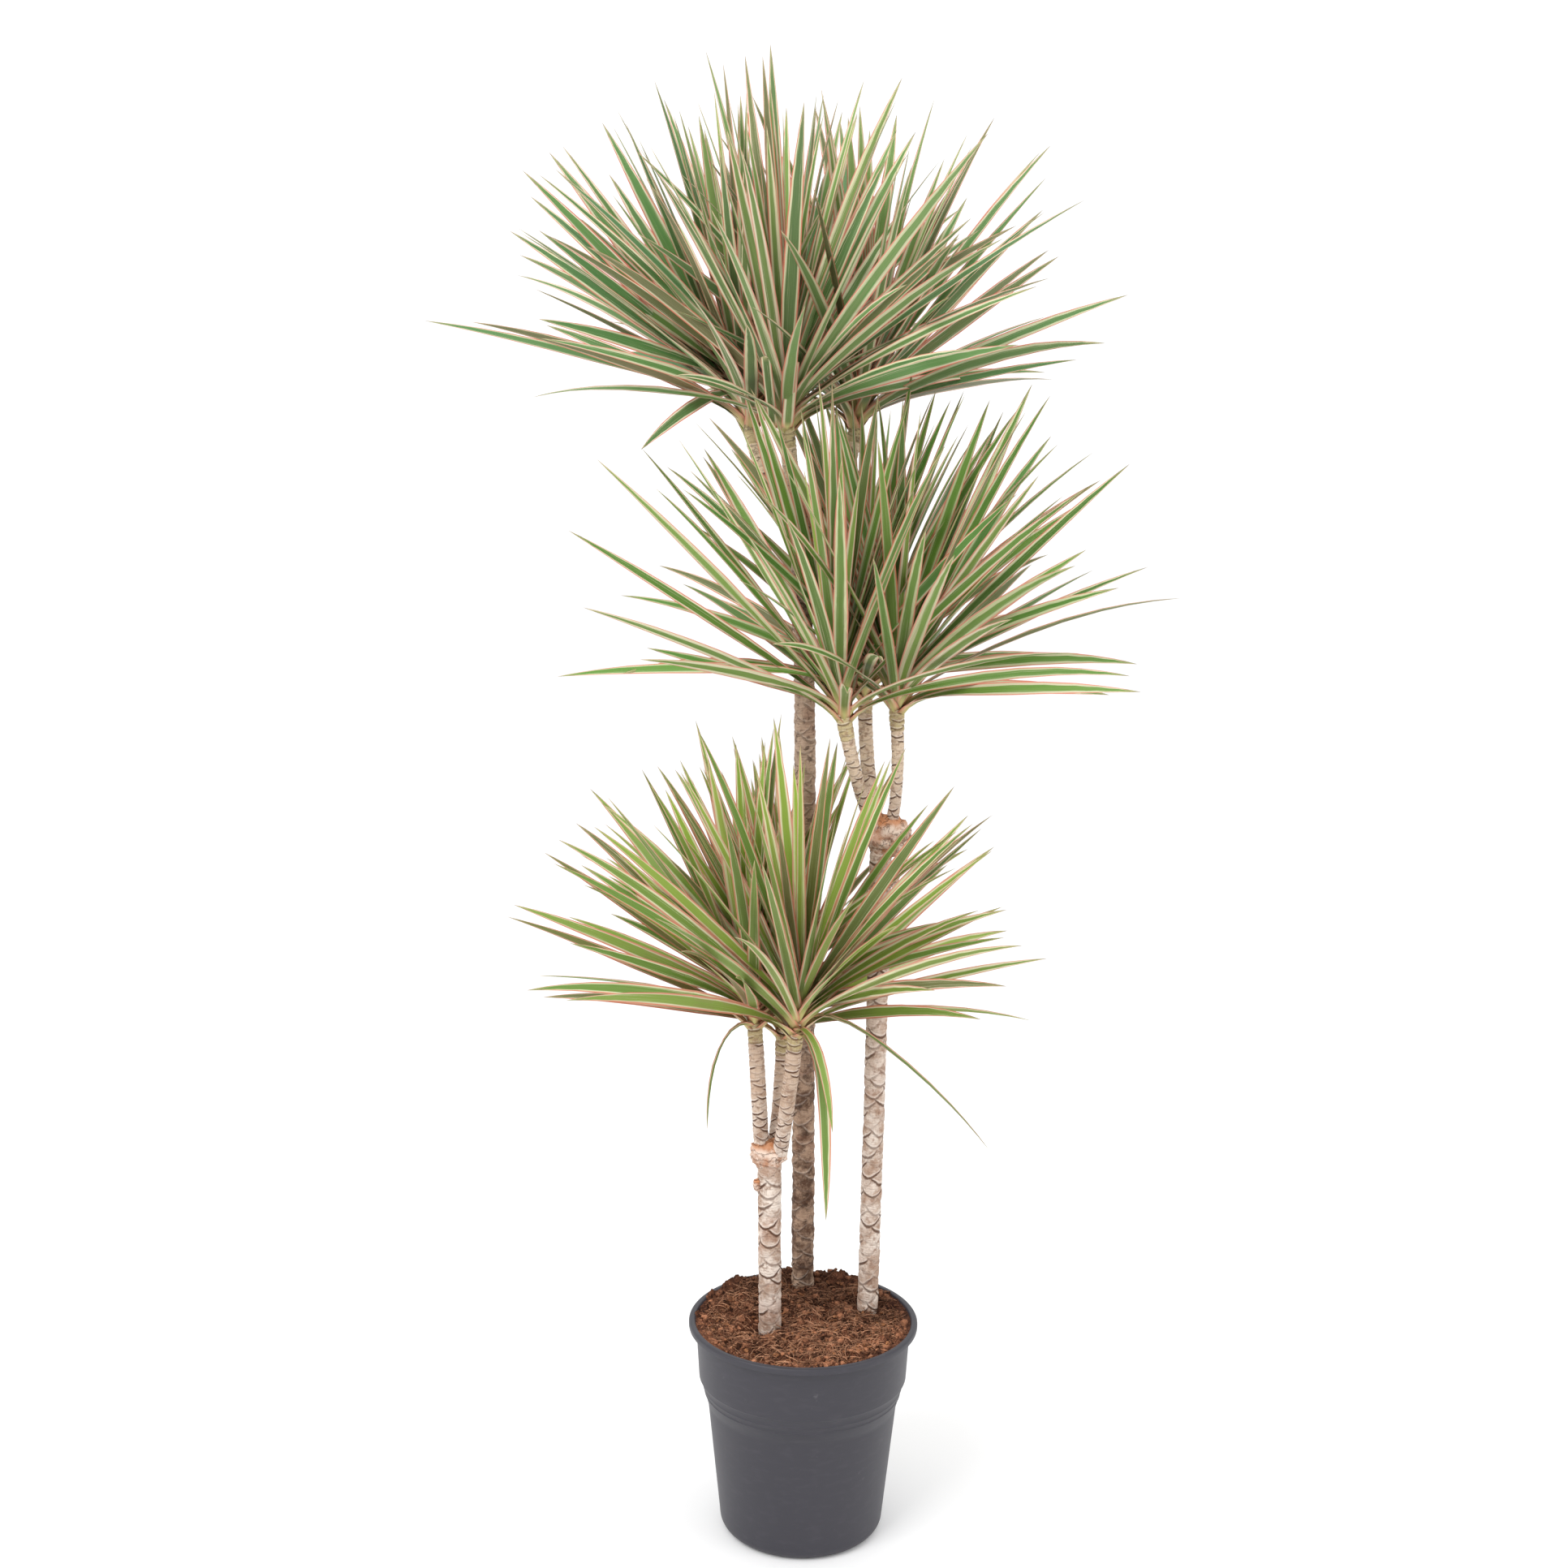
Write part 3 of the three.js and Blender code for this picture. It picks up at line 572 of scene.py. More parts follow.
def crumb(corners, x, y, draw):
    c = crumbForm
    size = lerp(*c["size"], draw() ** 2.5)
    local = corners * (size * lerp(*c["stretch"], draw()), size, size * c["flat"])
    return settle(jagged(local, size * c["rough"], draw), x, y, draw, size * c["lift"], c["tilt"])


def fibreMesh():
    bm = bmesh.new()
    bmesh.ops.create_cone(bm, cap_ends=True, segments=3, radius1=1.0, radius2=0.6, depth=1.0)
    upright = [e for e in bm.edges if abs(e.verts[0].co.z - e.verts[1].co.z) > 0.5]
    bmesh.ops.subdivide_edges(bm, edges=upright, cuts=5)
    return formMesh(bm)


def fibre(corners, x, y, draw):
    f = fibreForm
    length, width = lerp(*f["length"], draw()), lerp(*f["width"], draw())
    bend, arch = (draw() - 0.5) * f["bend"] * length, lerp(*f["arch"], draw())
    share = corners[:, 2]
    local = np.stack([
        share * length,
        corners[:, 0] * width + bend * share * share,
        corners[:, 1] * width + arch * (1 - 4 * share * share),
    ], axis=1)
    return settle(local, x, y, draw, f["lift"], f["tilt"])


def chipMesh():
    bm = bmesh.new()
    bmesh.ops.create_cube(bm, size=1.0)
    bmesh.ops.subdivide_edges(bm, edges=bm.edges, cuts=1, use_grid_fill=True)
    return formMesh(bm)


def chip(corners, x, y, draw):
    c = chipForm
    size = lerp(*c["length"], draw() ** 2), lerp(*c["width"], draw()), lerp(*c["thick"], draw())
    blunt = 1 - c["blunt"] * np.sum(np.abs(corners) > 0.4, axis=1)[:, None]
    local = jagged(corners * blunt * size * c["scale"], c["rough"], draw)
    return settle(local, x, y, draw, c["lift"], c["tilt"])


def soilFinish(name):
    # dark fibrous crumbs, with painted shade towards the back and the right and in the gaps; each loose
    # bit has a tone of its own
    dark, pale = soilTones[name]
    finish = Finish(name, 0.95, 0.15)
    place, tint = finish.object(), finish.attribute("tint")
    patches = finish.noise(place, 55.0, 5.0, 0.65).between(0.35, 0.68)
    bits = finish.noise(place, 480.0, 3.0, 0.6).between(0.42, 0.62)
    share = patches * 0.35 + bits * 0.4 + tint * 0.7
    base = finish.mix(share.clamped(), linear(*dark), linear(*pale))
    # painted shade in the gaps between crumbs, weaker where the tint is pale
    paintedGapShade = finish.noise(place, 170.0, 4.0).between(0.5, 0.36)
    # painted shade, darker towards the back and the right
    damp = (finish.split(place, 1) + 0.35 * finish.split(place, 0)).between(-0.005, 0.06)
    base = finish.mix(damp * 0.5, base, linear(*soilTones["damp"]))
    base = finish.mix(paintedGapShade * (0.85 - 0.65 * tint), base, linear(*soilTones["gap"]))
    finish.set("Base Color", base)
    finish.bump(bits, 0.0008, 1.0)
    return finish.material


# trunk: places up its middle, each with its radius; knots: the swelling under the fork and any bud, by
# place and radii; shoots: name, number of leaves in the source, turn of the first one, and path
canes = [
    {
        "name": "tall", "leafLength": 330,
        "trunk": [
            (0, 82, 155, 12), (0, 81.5, 240, 12), (-2, 77, 520, 11.6), (-5, 71, 850, 10.8),
            (-12, 62, 1046, 10),
        ],
        "knots": [((-12, 61, 1056), (17, 15, 18))],
        "shoots": [
            ("left", 52, 20, [(-18, 60, 1060, 8), (-50, 58, 1098, 7.5), (-59, 56, 1136, 8)]),
            ("front", 52, 250, [(-13, 52, 1060, 8), (-22, 8, 1098, 7.5), (-25, -4, 1134, 8)]),
            ("right", 52, 130, [(-4, 64, 1060, 8), (34, 86, 1094, 7.5), (41, 92, 1136, 8)]),
        ],
    },
    {
        "name": "mid", "leafLength": 322,
        "trunk": [(69, 34, 155, 11), (69.2, 33.5, 240, 11), (72.3, 30, 480, 11), (74, 27, 736, 11.4)],
        "knots": [((79, 25, 742), (23, 17, 23)), ((85, 22, 700), (8, 6, 11))],
        "shoots": [
            ("left", 50, 75, [(66, 18, 752, 7), (50, -2, 786, 6), (36, -16, 852, 7)]),
            ("back", 46, 210, [(70, 34, 752, 8), (59, 60, 790, 7), (57, 66, 864, 7.5)]),
            ("right", 50, 320, [(83, 24, 752, 6.5), (91, 12, 790, 5.4), (87, 10, 858, 6.8)]),
        ],
    },
    {
        "name": "short", "leafLength": 298,
        "trunk": [
            (-35, -9, 155, 11.6), (-35, -9.5, 240, 11.8), (-36, -12, 320, 11.9),
            (-36.5, -14, 408, 12.5),
        ],
        "knots": [((-38, -14, 414), (18, 15.5, 17)), ((-49, -18, 383), (4.5, 4, 7))],
        "shoots": [
            ("left", 48, 50, [(-45, -14, 420, 8), (-48, -10, 470, 8), (-52, -8, 533, 8)]),
            ("right", 46, 170, [(-26, -20, 420, 8), (-20, -42, 465, 7.5), (-13, -52, 540, 8)]),
            ("back", 46, 285, [(-33, -4, 420, 6), (-28, 26, 460, 5.5), (-25, 32, 511, 7)]),
        ],
    },
]
barkForm = {
    "step": 1.5, "sides": 44, "relief": 0.7, "roughness": 0.6, "shootSides": 28, "waver": 0.13,
    # a shoot's top in its head of leaves: height over the neck and radius
    "headTop": ((-4, 7.2), (8, 7.8), (30, 7.0), (70, 3.0)),
    # how rough each limb is, how deep its scars are, and how young it is at its foot and its top
    "brownTrunk": (2.2, 0.7, (0.0, 0.12)), "paleTrunk": (1.2, 1.0, (0.0, 0.12)),
    "shoot": (0.5, 0.9, (0.25, 1.0)), "top": (0.3, 1.0, (1.6, 2.0)),
}
callusForm = {"lump": 0.16, "ridge": 0.03, "ridges": 15, "flare": 0.2, "seed": 5}
# scars of fallen leaves: their spacing up a trunk and a shoot, the turn from one to the next, the rows
# that they stand in, how far round each goes, and how deep it sags on old and on young wood
scarForm = {
    "pitch": 12.5, "shootPitch": 8.0, "turn": 0.382, "rows": 3, "reach": (0.25, 0.16), "low": 0.14,
    "sag": (17.0, 4.0), "groove": (0.16, 0.04), "lip": (0.16, 0.02), "lipRise": 0.2,
}


def smoothPath(points):
    # a smooth line through the points, or from the first to the last by way of the middle one
    table = np.array(points, dtype=float)
    if len(table) == 3:
        t = np.linspace(0, 1, 60)[:, None]
        return (1 - t) ** 2 * table[0] + 2 * t * (1 - t) * table[1] + t * t * table[2]
    line = []
    for i in range(len(table) - 1):
        p0, p1, p2, p3 = (table[min(max(i + k, 0), len(table) - 1)] for k in (-1, 0, 1, 2))
        span = lambda a, b: max(np.linalg.norm(b[:3] - a[:3]), 1e-6)
        m1 = (p2 - p0) / (span(p0, p1) + span(p1, p2)) * span(p1, p2)
        m2 = (p3 - p1) / (span(p1, p2) + span(p2, p3)) * span(p1, p2)
        t = np.linspace(0, 1, 60)[:, None]
        h1, h2 = 2 * t ** 3 - 3 * t ** 2 + 1, t ** 3 - 2 * t ** 2 + t
        h3, h4 = -2 * t ** 3 + 3 * t ** 2, t ** 3 - t ** 2
        line.append(h1 * p1 + h2 * m1 + h3 * p2 + h4 * m2)
    return np.concatenate(line)


def evenPlaces(points, step):
    # places every step along the path, each with its direction and radius
    line = smoothPath(points)
    lengths = np.concatenate([[0], np.cumsum(np.linalg.norm(np.diff(line[:, :3], axis=0), axis=1))])
    count = max(4, round(lengths[-1] / step))
    at = np.linspace(0, lengths[-1], count + 1)
    places = np.stack([np.interp(at, lengths, line[:, k]) for k in range(4)], axis=1)
    along = np.gradient(places[:, :3], axis=0)
    along /= np.linalg.norm(along, axis=1)[:, None]
    return places, along, at


def scarGroove(around, rings, young):
    # how deep the scars of fallen leaves cut the bark here, 0 to 1
    s = scarForm
    deepest = 0.0
    for row in range(s["rows"]):
        ring = rings + row / s["rows"]
        turn = (around - (math.floor(ring) * s["rows"] - row) * s["turn"] + 0.5) % 1.0 - 0.5
        rise = ring % 1.0 - s["low"] - turn * turn * lerp(*s["sag"], min(young, 1.0))
        cut = smoothstep(abs(rise), *s["groove"]) * smoothstep(abs(turn), *s["reach"])
        deepest = max(deepest, cut)
    return deepest


def barkTube(bm, points, sides, pitch, seed, look):
    # a closed limb, grooved at the scars of its fallen leaves
    roughness, scars, ages = barkForm[look]
    places, along, lengths = evenPlaces(points, barkForm["step"])
    rows = len(places) - 1
    right = np.array((1.0, 0.0, 0.0)) - along * along[:, :1]
    right /= np.linalg.norm(right, axis=1)[:, None]
    back = np.cross(along, right)
    grid = bmesh.ops.create_grid(bm, x_segments=sides, y_segments=rows, size=0.5)["verts"]
    uvLayer = bm.loops.layers.uv["bark"]
    scar, young = (bm.verts.layers.float[name] for name in ("scar", "young"))
    for face in {face for vert in grid for face in vert.link_faces}:
        for loop in face.loops:
            loop[uvLayer].uv = (loop.vert.co.x + 0.5, (loop.vert.co.y + 0.5) * lengths[-1] * mm)
    for vert in grid:
        around, row = vert.co.x + 0.5, round((vert.co.y + 0.5) * rows)
        turn = around * 2 * math.pi
        x, y, z, radius = places[row]
        spot = Vector((math.cos(turn), math.sin(turn), lengths[row] / 14))
        waver = barkForm["waver"] * noise.noise(spot + Vector((seed, 0, 0)))
        rings = lengths[row] / pitch + seed + waver
        youth = lerp(*ages, lengths[row] / lengths[-1])
        rough = noise.fractal(Vector((x + radius * spot.x, y + radius * spot.y, z)) * 0.11, 1, 2, 3)
        radius += barkForm["roughness"] * rough * roughness
        radius -= barkForm["relief"] * scars * scarGroove(around, rings, youth)
        spoke = right[row] * spot.x + back[row] * spot.y
        vert.co = Vector(places[row, :3] + spoke * radius) * mm
        vert[scar], vert[young] = rings, youth
    bmesh.ops.remove_doubles(bm, verts=grid, dist=1e-6)
    ends = [e for e in bm.edges if e.is_boundary]
    bmesh.ops.holes_fill(bm, edges=ends, sides=0)


def callus(bm, centre, radii, seed):
    # a wrinkled swelling, a little wider at its top
    c = callusForm
    made = bmesh.ops.create_icosphere(bm, subdivisions=4, radius=1.0)["verts"]
    scar = bm.verts.layers.float["scar"]
    for vert in made:
        vert[scar] = vert.co.z
        lump = c["lump"] * noise.fractal(vert.co * 2.2 + Vector((seed, 0, 0)), 1, 2, 4)
        wander = 7 * noise.noise(vert.co * 1.6 + Vector((seed, 3, 0)))
        ridge = c["ridge"] * math.sin(vert.co.z * c["ridges"] + wander)
        shape = vert.co * (1 + lump + ridge)
        flare = 1 + c["flare"] * shape.z
        shape = (shape.x * flare, shape.y * flare, shape.z)
        vert.co = Vector([middle + r * s for middle, r, s in zip(centre, radii, shape)]) * mm
    for face in {face for vert in made for face in vert.link_faces}:
        face.material_index = 1


def makeCanes():
    callusSkin = callusFinish()
    for number, cane in enumerate(canes):
        tall = cane["name"] == "tall"
        bm = bmesh.new()
        for name in ("scar", "young"):
            bm.verts.layers.float.new(name)
        bm.loops.layers.uv.new("bark")
        trunk, sides = "brownTrunk" if tall else "paleTrunk", barkForm["shootSides"]
        barkTube(bm, cane["trunk"], barkForm["sides"], scarForm["pitch"], 3.1 * number, trunk)
        for place, radii in cane["knots"]:
            callus(bm, place, radii, callusForm["seed"] + number + radii[2])
        for k, (_, _, _, path) in enumerate(cane["shoots"]):
            barkTube(bm, path, sides, scarForm["shootPitch"], 1.7 * k + number, "shoot")
            bend, neck = (np.array(place[:3], dtype=float) for place in path[1:])
            axis = unit(neck - bend)
            top = [(*(neck + axis * height), radius) for height, radius in barkForm["headTop"]]
            barkTube(bm, top, sides, scarForm["shootPitch"], k + 0.3, "top")
        bmesh.ops.recalc_face_normals(bm, faces=bm.faces)
        skin = barkFinish(cane["name"] + "Bark", barkTones[cane["name"]])
        piece = addPiece("cane" + cane["name"].capitalize(), bm, [skin, callusSkin])
        dress(piece, "cane_" + cane["name"])
    print("canes made")


barkTones = {
    "tall": {
        "base": (90, 65, 50), "pale": (172, 144, 122), "dark": (50, 33, 26), "stain": (56, 37, 28),
        "upper": (200, 174, 154), "fresh": (228, 208, 176), "marks": 0.35,
    },
    "mid": {
        "base": (172, 146, 128), "pale": (218, 204, 192), "dark": (92, 64, 48), "stain": (140, 108, 88),
        "upper": (202, 178, 162), "fresh": (210, 188, 162), "marks": 0.9,
    },
    "short": {
        "base": (168, 142, 124), "pale": (220, 206, 194), "dark": (88, 58, 42), "stain": (140, 108, 88),
        "upper": (196, 172, 154), "fresh": (192, 166, 144), "marks": 0.95,
    },
    # lip: the colour of the painted highlight on the raised lip over each scar
    "all": {"ruddy": (160, 112, 90), "leafy": (176, 162, 104), "lip": (230, 216, 204)},
}
callusTones = {
    "deep": (164, 124, 100), "pale": (222, 200, 184), "rim": (190, 124, 78), "patch": (176, 112, 72),
    "wrinkle": (100, 64, 46),
}


def scarMarks(finish, around, rings, young, wobble):
    # the dark grooves of the scars, and the raised lips above them, which carry a painted highlight
    s = scarForm
    sag = young.clamped() * (s["sag"][1] - s["sag"][0]) + s["sag"][0]
    marks = []
    for row in range(s["rows"]):
        ring = rings + row / s["rows"]
        number = ring.math("FLOOR", ring) * s["rows"] - row
        turn = (around - number * s["turn"] + 0.5).fraction() - 0.5
        rise = ring.fraction() - s["low"] - turn * turn * sag + wobble
        strength = finish.noise(finish.placeAt(number * 3.7, row * 5.0, 0.5), 1.0, 0.0)
        reach = abs(turn).between(*s["reach"]) * (0.22 + 0.78 * strength.between(0.42, 0.56))
        groove = abs(rise).between(*s["groove"]) * reach
        lip = abs(rise - s["lipRise"]).between(*s["lip"]) * reach
        marks.append((groove, lip))
    larger = lambda one, two: one.math("MAXIMUM", one, two)
    return [larger(one, larger(two, three)) for one, two, three in zip(*marks)]


def barkFinish(name, tones):
    # pinkish bark with brown crescents at the leaf scars and a painted highlight on the raised lips
    # above them, stains, flecks and cracks
    finish = Finish(name, 0.85, 0.2)
    tones = {**barkTones["all"], **tones}
    marks = tones.pop("marks")
    tone = linearTones(tones)
    place = finish.object()
    uv = finish.node("UVMap", {"uv_map": "bark"})
    around, along = finish.split(uv, 0), finish.split(uv, 1)
    rings, young = finish.attribute("scar"), finish.attribute("young")
    blotch = finish.noise(place, 46.0, 5.0, 0.7)
    speckle = finish.noise(place, 300.0, 4.0, 0.7)
    wobble = (finish.noise(place, 190.0, 3.0) - 0.5) * 0.22
    groove, lip = scarMarks(finish, around, rings, young, wobble)
    fine = abs((rings * 4.3 + wobble * 6.0).fraction() - 0.5).between(0.2, 0.02)
    fine = fine * speckle.between(0.4, 0.6)
    cracks = finish.noise(finish.placeAt(around * 46.0, along * 90.0, rings * 0.2), 1.0, 4.0, 0.7)

    skin = finish.mix(blotch.between(0.38, 0.62), tone["base"], tone["pale"])
    higher = finish.split(place, 2).between(0.42, 0.66)
    skin = finish.mix(higher * (0.5 + 0.4 * blotch), skin, tone["upper"])
    ruddy = finish.noise(place, 24.0, 3.0).between(0.52, 0.66)
    skin = finish.mix(ruddy * 0.3, skin, tone["ruddy"])
    skin = finish.mix(young.between(0.15, 0.85) * 0.8, skin, tone["fresh"])
    skin = finish.mix(young.between(1.1, 1.7) * 0.6, skin, tone["leafy"])
    skin = finish.mix(speckle.between(0.56, 0.68) * 0.5, skin, tone["pale"])
    stain = finish.noise(place, 110.0, 5.0, 0.65).between(0.52, 0.62)
    skin = finish.mix(stain * 0.6, skin, tone["stain"])
    skin = finish.mix(cracks.between(0.58, 0.72) * 0.5, skin, tone["dark"])
    skin = finish.mix(fine * 0.25, skin, tone["stain"])
    # painted highlight along the raised lip over each scar
    skin = finish.mix(lip * (0.6 * marks), skin, tone["lip"])
    finish.set("Base Color", finish.mix(groove * marks, skin, tone["dark"]))
    finish.set("Roughness", 0.72 + 0.2 * blotch)
    height = speckle * 0.4 + cracks * 0.4 + blotch * 0.5 + lip * 0.3 - groove - fine * 0.4
    finish.bump(height, 0.0009, 1.0)
    return finish.material


def callusFinish():
    # corky wood: pinkish, with an orange-brown rim at its top and dark wrinkles
    finish = Finish("callus", 0.9, 0.15)
    tone = linearTones(callusTones)
    place, share = finish.object(), finish.attribute("scar")
    blotch = finish.noise(place, 90.0, 5.0, 0.7)
    skin = finish.mix(blotch.between(0.35, 0.6), tone["deep"], tone["pale"])
    rim = (share + finish.noise(place, 60.0, 3.0) * 0.8 - 0.4).between(0.35, 0.75)
    skin = finish.mix(rim * 0.8, skin, tone["rim"])
    patch = finish.noise(place, 42.0, 4.0).between(0.56, 0.66)
    skin = finish.mix(patch * 0.5, skin, tone["patch"])
    wrinkles = (share * 2.2 + finish.noise(place, 70.0, 4.0, 0.7) * 4.0).fraction().between(0.74, 0.97)
    skin = finish.mix(wrinkles * 0.5, skin, tone["wrinkle"])
    finish.set("Base Color", skin)
    finish.bump(blotch - wrinkles * 0.8, 0.0016, 1.0)
    return finish.material


# leaves that reach for the plant's outline, by the place of their tip and how much they droop
outlineLeaves = {
    "tall_left": [
        (-380, 20, 1250, 8), (-270, 0, 1280, 6), (-280, -30, 1330, 6), (-280, 30, 1390, 5),
        (-250, 80, 1400, 5), (-200, 60, 1440, 4), (-170, 0, 1420, 4), (-140, 60, 1450, 3),
        (-100, 40, 1470, 3), (-270, 90, 1250, 8),
    ],
    "tall_front": [
        (-70, 20, 1500, 0), (-30, 0, 1450, 2), (20, -20, 1450, 3), (190, -60, 1230, 12),
    ],
    "tall_right": [
        (300, 0, 1280, 8), (260, 50, 1220, 9), (240, 60, 1320, 6), (230, 120, 1370, 5),
        (220, 20, 1390, 5), (160, 200, 1390, 5), (130, 130, 1420, 3), (90, 50, 1420, 3),
        (80, 110, 1460, 2), (30, 60, 1450, 2),
    ],
    "mid_left": [
        (-130, -40, 1140, 4), (-170, 30, 1130, 4), (-210, -20, 1120, 4), (-240, 0, 1050, 5),
        (-220, -60, 980, 8), (-250, -20, 910, 10), (-180, 20, 830, 14), (-160, -140, 940, 9),
    ],
    "mid_back": [
        (150, 60, 1190, 3), (120, 30, 1190, 2), (250, 120, 920, 10),
    ],
    "mid_right": [
        (300, 20, 890, 12), (330, 0, 1020, 9), (290, 90, 1010, 8), (260, -60, 1040, 7),
        (310, 10, 1120, 5), (210, -80, 1110, 5), (190, 60, 1170, 4), (170, 0, 1180, 3),
    ],
    "short_left": [
        (-300, -40, 670, 8), (-300, 10, 670, 7), (-260, -60, 740, 6), (-280, -30, 560, 12),
        (-280, 30, 590, 10), (-200, -30, 790, 4), (-170, 20, 810, 4), (-100, -40, 450, 10),
    ],
    "short_right": [
        (240, -30, 630, 10), (190, -60, 690, 8), (160, 0, 770, 5), (140, -60, 810, 4),
        (80, -20, 830, 3), (20, -105, 380, 6), (25, -115, 475, 8), (186, -50, 434, 16),
    ],
    "short_back": [
        (210, 60, 670, 8), (40, 40, 830, 3), (-50, 30, 840, 2), (-110, 60, 820, 3),
    ],
}
headForm = {
    "lowestRoot": 12, "zone": 66, "coreTop": 78, "coreRadius": 11, "coreTopRadius": 5, "rootDepth": 5,
    "keepOut": 20, "pitches": (12, 88), "longest": 0.4, "lengthFall": 0.3, "pitchJitter": 9,
    "azimuthJitter": 12, "lengthJitter": 0.16, "droops": (17, 3), "sweep": 9, "twist": 60, "tries": 90,
    "azimuthReach": 2, "pitchReach": 0.3, "goldenAngle": 137.508, "boxSlack": 3,
    # the first seed, and what a turn and a place in the winding add to it
    "seeds": (7919, 1013, 37), "boxRoom": 20000,
}
# the source's blades: rows up a blade, and at some of them half its width and the depth of its keel
bladeForm = {
    "steps": 24, "stations": (0, 3, 9, 17, 24), "halfWidths": (2.5, 5.2, 6.6, 6, 0),
    "keels": (1.8, 1.7, 1.6, 1.4, 0), "start": 58, "bend": 24, "clearance": 0.8,
}


def unit(vector):
    return vector / np.linalg.norm(vector)


def heading(pitch, azimuth):
    pitch, azimuth = np.radians(pitch), np.radians(azimuth)
    level = np.cos(pitch)
    return np.stack([level * np.cos(azimuth), level * np.sin(azimuth), np.sin(pitch)], axis=-1)


def bladeLine(leaf):
    # the blade's spine: steep against the shoot at first, then out to its pitch, then drooping
    steps = bladeForm["steps"]
    share = (np.arange(steps) + 0.5) / steps
    start = max(bladeForm["start"], leaf["pitch"])
    rise = (start - leaf["pitch"]) * np.exp(-share * leaf["length"] / bladeForm["bend"])
    pitch = leaf["pitch"] + rise - leaf["droop"] * share * share
    way = heading(pitch, leaf["azimuth"] + leaf["sweep"] * share) * (leaf["length"] / steps)
    return np.concatenate([leaf["root"][None], leaf["root"] + np.cumsum(way, axis=0)])


def bladeFrames(leaf, rows):
    # at each row: the place, the width's direction and the underside's direction
    line = bladeLine(leaf)
    rows = np.asarray(rows)
    steps = bladeForm["steps"]
    along = line[np.minimum(rows + 1, steps)] - line[np.maximum(rows - 1, 0)]
    along /= np.linalg.norm(along, axis=1)[:, None]
    azimuth = math.radians(leaf["azimuth"])
    level = np.array((-math.sin(azimuth), math.cos(azimuth), 0.0))
    flat = level - along * (along @ level)[:, None]
    flat /= np.linalg.norm(flat, axis=1)[:, None]
    roll = leaf.get("roll", 0.0) * np.minimum(rows / (leafForm["rollBy"] * steps), 1.0)
    turn = np.radians(leaf["twist"] * rows / steps + roll)[:, None]
    across = flat * np.cos(turn) + np.cross(along, flat) * np.sin(turn)
    return line[rows], across, np.cross(across, along)


def boxesAround(starts, ends, sides, halfWidths, halfDepths):
    # a box round each stretch: its middle, axes, half sizes and the ball round it
    way = ends - starts
    length = np.linalg.norm(way, axis=1)
    along = way / length[:, None]
    across = sides - along * np.sum(sides * along, axis=1)[:, None]
    across /= np.linalg.norm(across, axis=1)[:, None]
    halves = np.stack([length / 2, halfWidths, halfDepths], axis=1)
    axes = np.stack([along, across, np.cross(along, across)], axis=1)
    return (starts + ends) / 2, axes, halves, np.linalg.norm(halves, axis=1)


def bladeBoxes(leaf):
    # two boxes for each stretch between stations, as wide and deep as the blade is there
    at, across, _ = bladeFrames(leaf, bladeForm["stations"])
    widths, keels = np.array(bladeForm["halfWidths"]), np.array(bladeForm["keels"])
    parts = []
    for i in range(len(at) - 1):
        for share in (0, 0.5):
            start, end = (lerp(at[i], at[i + 1], s) for s in (share, share + 0.5))
            wide = max(lerp(widths[i], widths[i + 1], s) for s in (share, share + 0.5))
            side = lerp(across[i], across[i + 1], share + 0.25)
            parts.append((start, end, side, wide, max(keels[i], keels[i + 1]) / 2))
    boxes = boxesAround(*(np.array(column) for column in zip(*parts)))
    return (*boxes, np.array([1, 1] + [0] * (len(parts) - 2), dtype=bool))


class Placed:
    # every box placed so far, and which of them a new blade's boxes would meet
    def __init__(self, room):
        self.count = 0
        self.centre = np.zeros((room, 3))
        self.axes = np.zeros((room, 3, 3))
        self.halves = np.zeros((room, 3))
        self.bound = np.zeros(room)
        self.root = np.zeros(room, dtype=bool)
        self.owner = np.zeros(room, dtype=int)

    def add(self, boxes, owner):
        first, last = self.count, self.count + len(boxes[0])
        stores = (self.centre, self.axes, self.halves, self.bound, self.root)
        for store, values in zip(stores, boxes):
            store[first:last] = values
        self.owner[first:last] = owner
        self.count = last

    def crossings(self, boxes, owner):
        # how many pairs of boxes have no plane between them; leaves may touch their own head's root
        centre, axes, halves, bound, root = boxes
        n = self.count
        between = self.centre[None, :n] - centre[:, None]
        same = self.owner[None, :n] == owner
        clearance = np.where(same, 0.0, bladeForm["clearance"])
        distance = np.sqrt(np.sum(between * between, axis=2))
        near = distance <= bound[:, None] + self.bound[None, :n] + clearance
        near &= ~(same & (root[:, None] | self.root[None, :n]))
        i, j = np.nonzero(near)
        if not len(i):
            return 0
        a, b, gap = axes[i], self.axes[j], between[i, j]
        crossed = np.cross(a[:, :, None], b[:, None]).reshape(len(i), 9, 3)
        lines = np.concatenate([a, b, crossed], axis=1)
        reach = shadow(lines, a, halves[i]) + shadow(lines, b, self.halves[j])
        length = np.linalg.norm(lines, axis=2)
        reach += clearance[0, j][:, None] * length
        apart = (length ** 2 > 1e-8) & (np.abs(np.einsum("plk,pk->pl", lines, gap)) > reach)
        return int(np.sum(~apart.any(axis=1)))


def shadow(lines, axes, halves):
    # half the length of each box seen along each line
    return np.einsum("pla,pa->pl", np.abs(np.einsum("plk,pak->pla", lines, axes)), halves)


def listShoots():
    shoots = []
    for cane in canes:
        for head, leaves, phase, path in cane["shoots"]:
            bend, end = np.array(path[1][:3], dtype=float), np.array(path[2][:3], dtype=float)
            shoots.append({
                "name": cane["name"] + "_" + head, "crown": cane["name"], "neck": end,
                "axis": unit(end - bend), "leafLength": cane["leafLength"], "leaves": leaves,
                "phase": phase, "blades": [],
            })
    return shoots


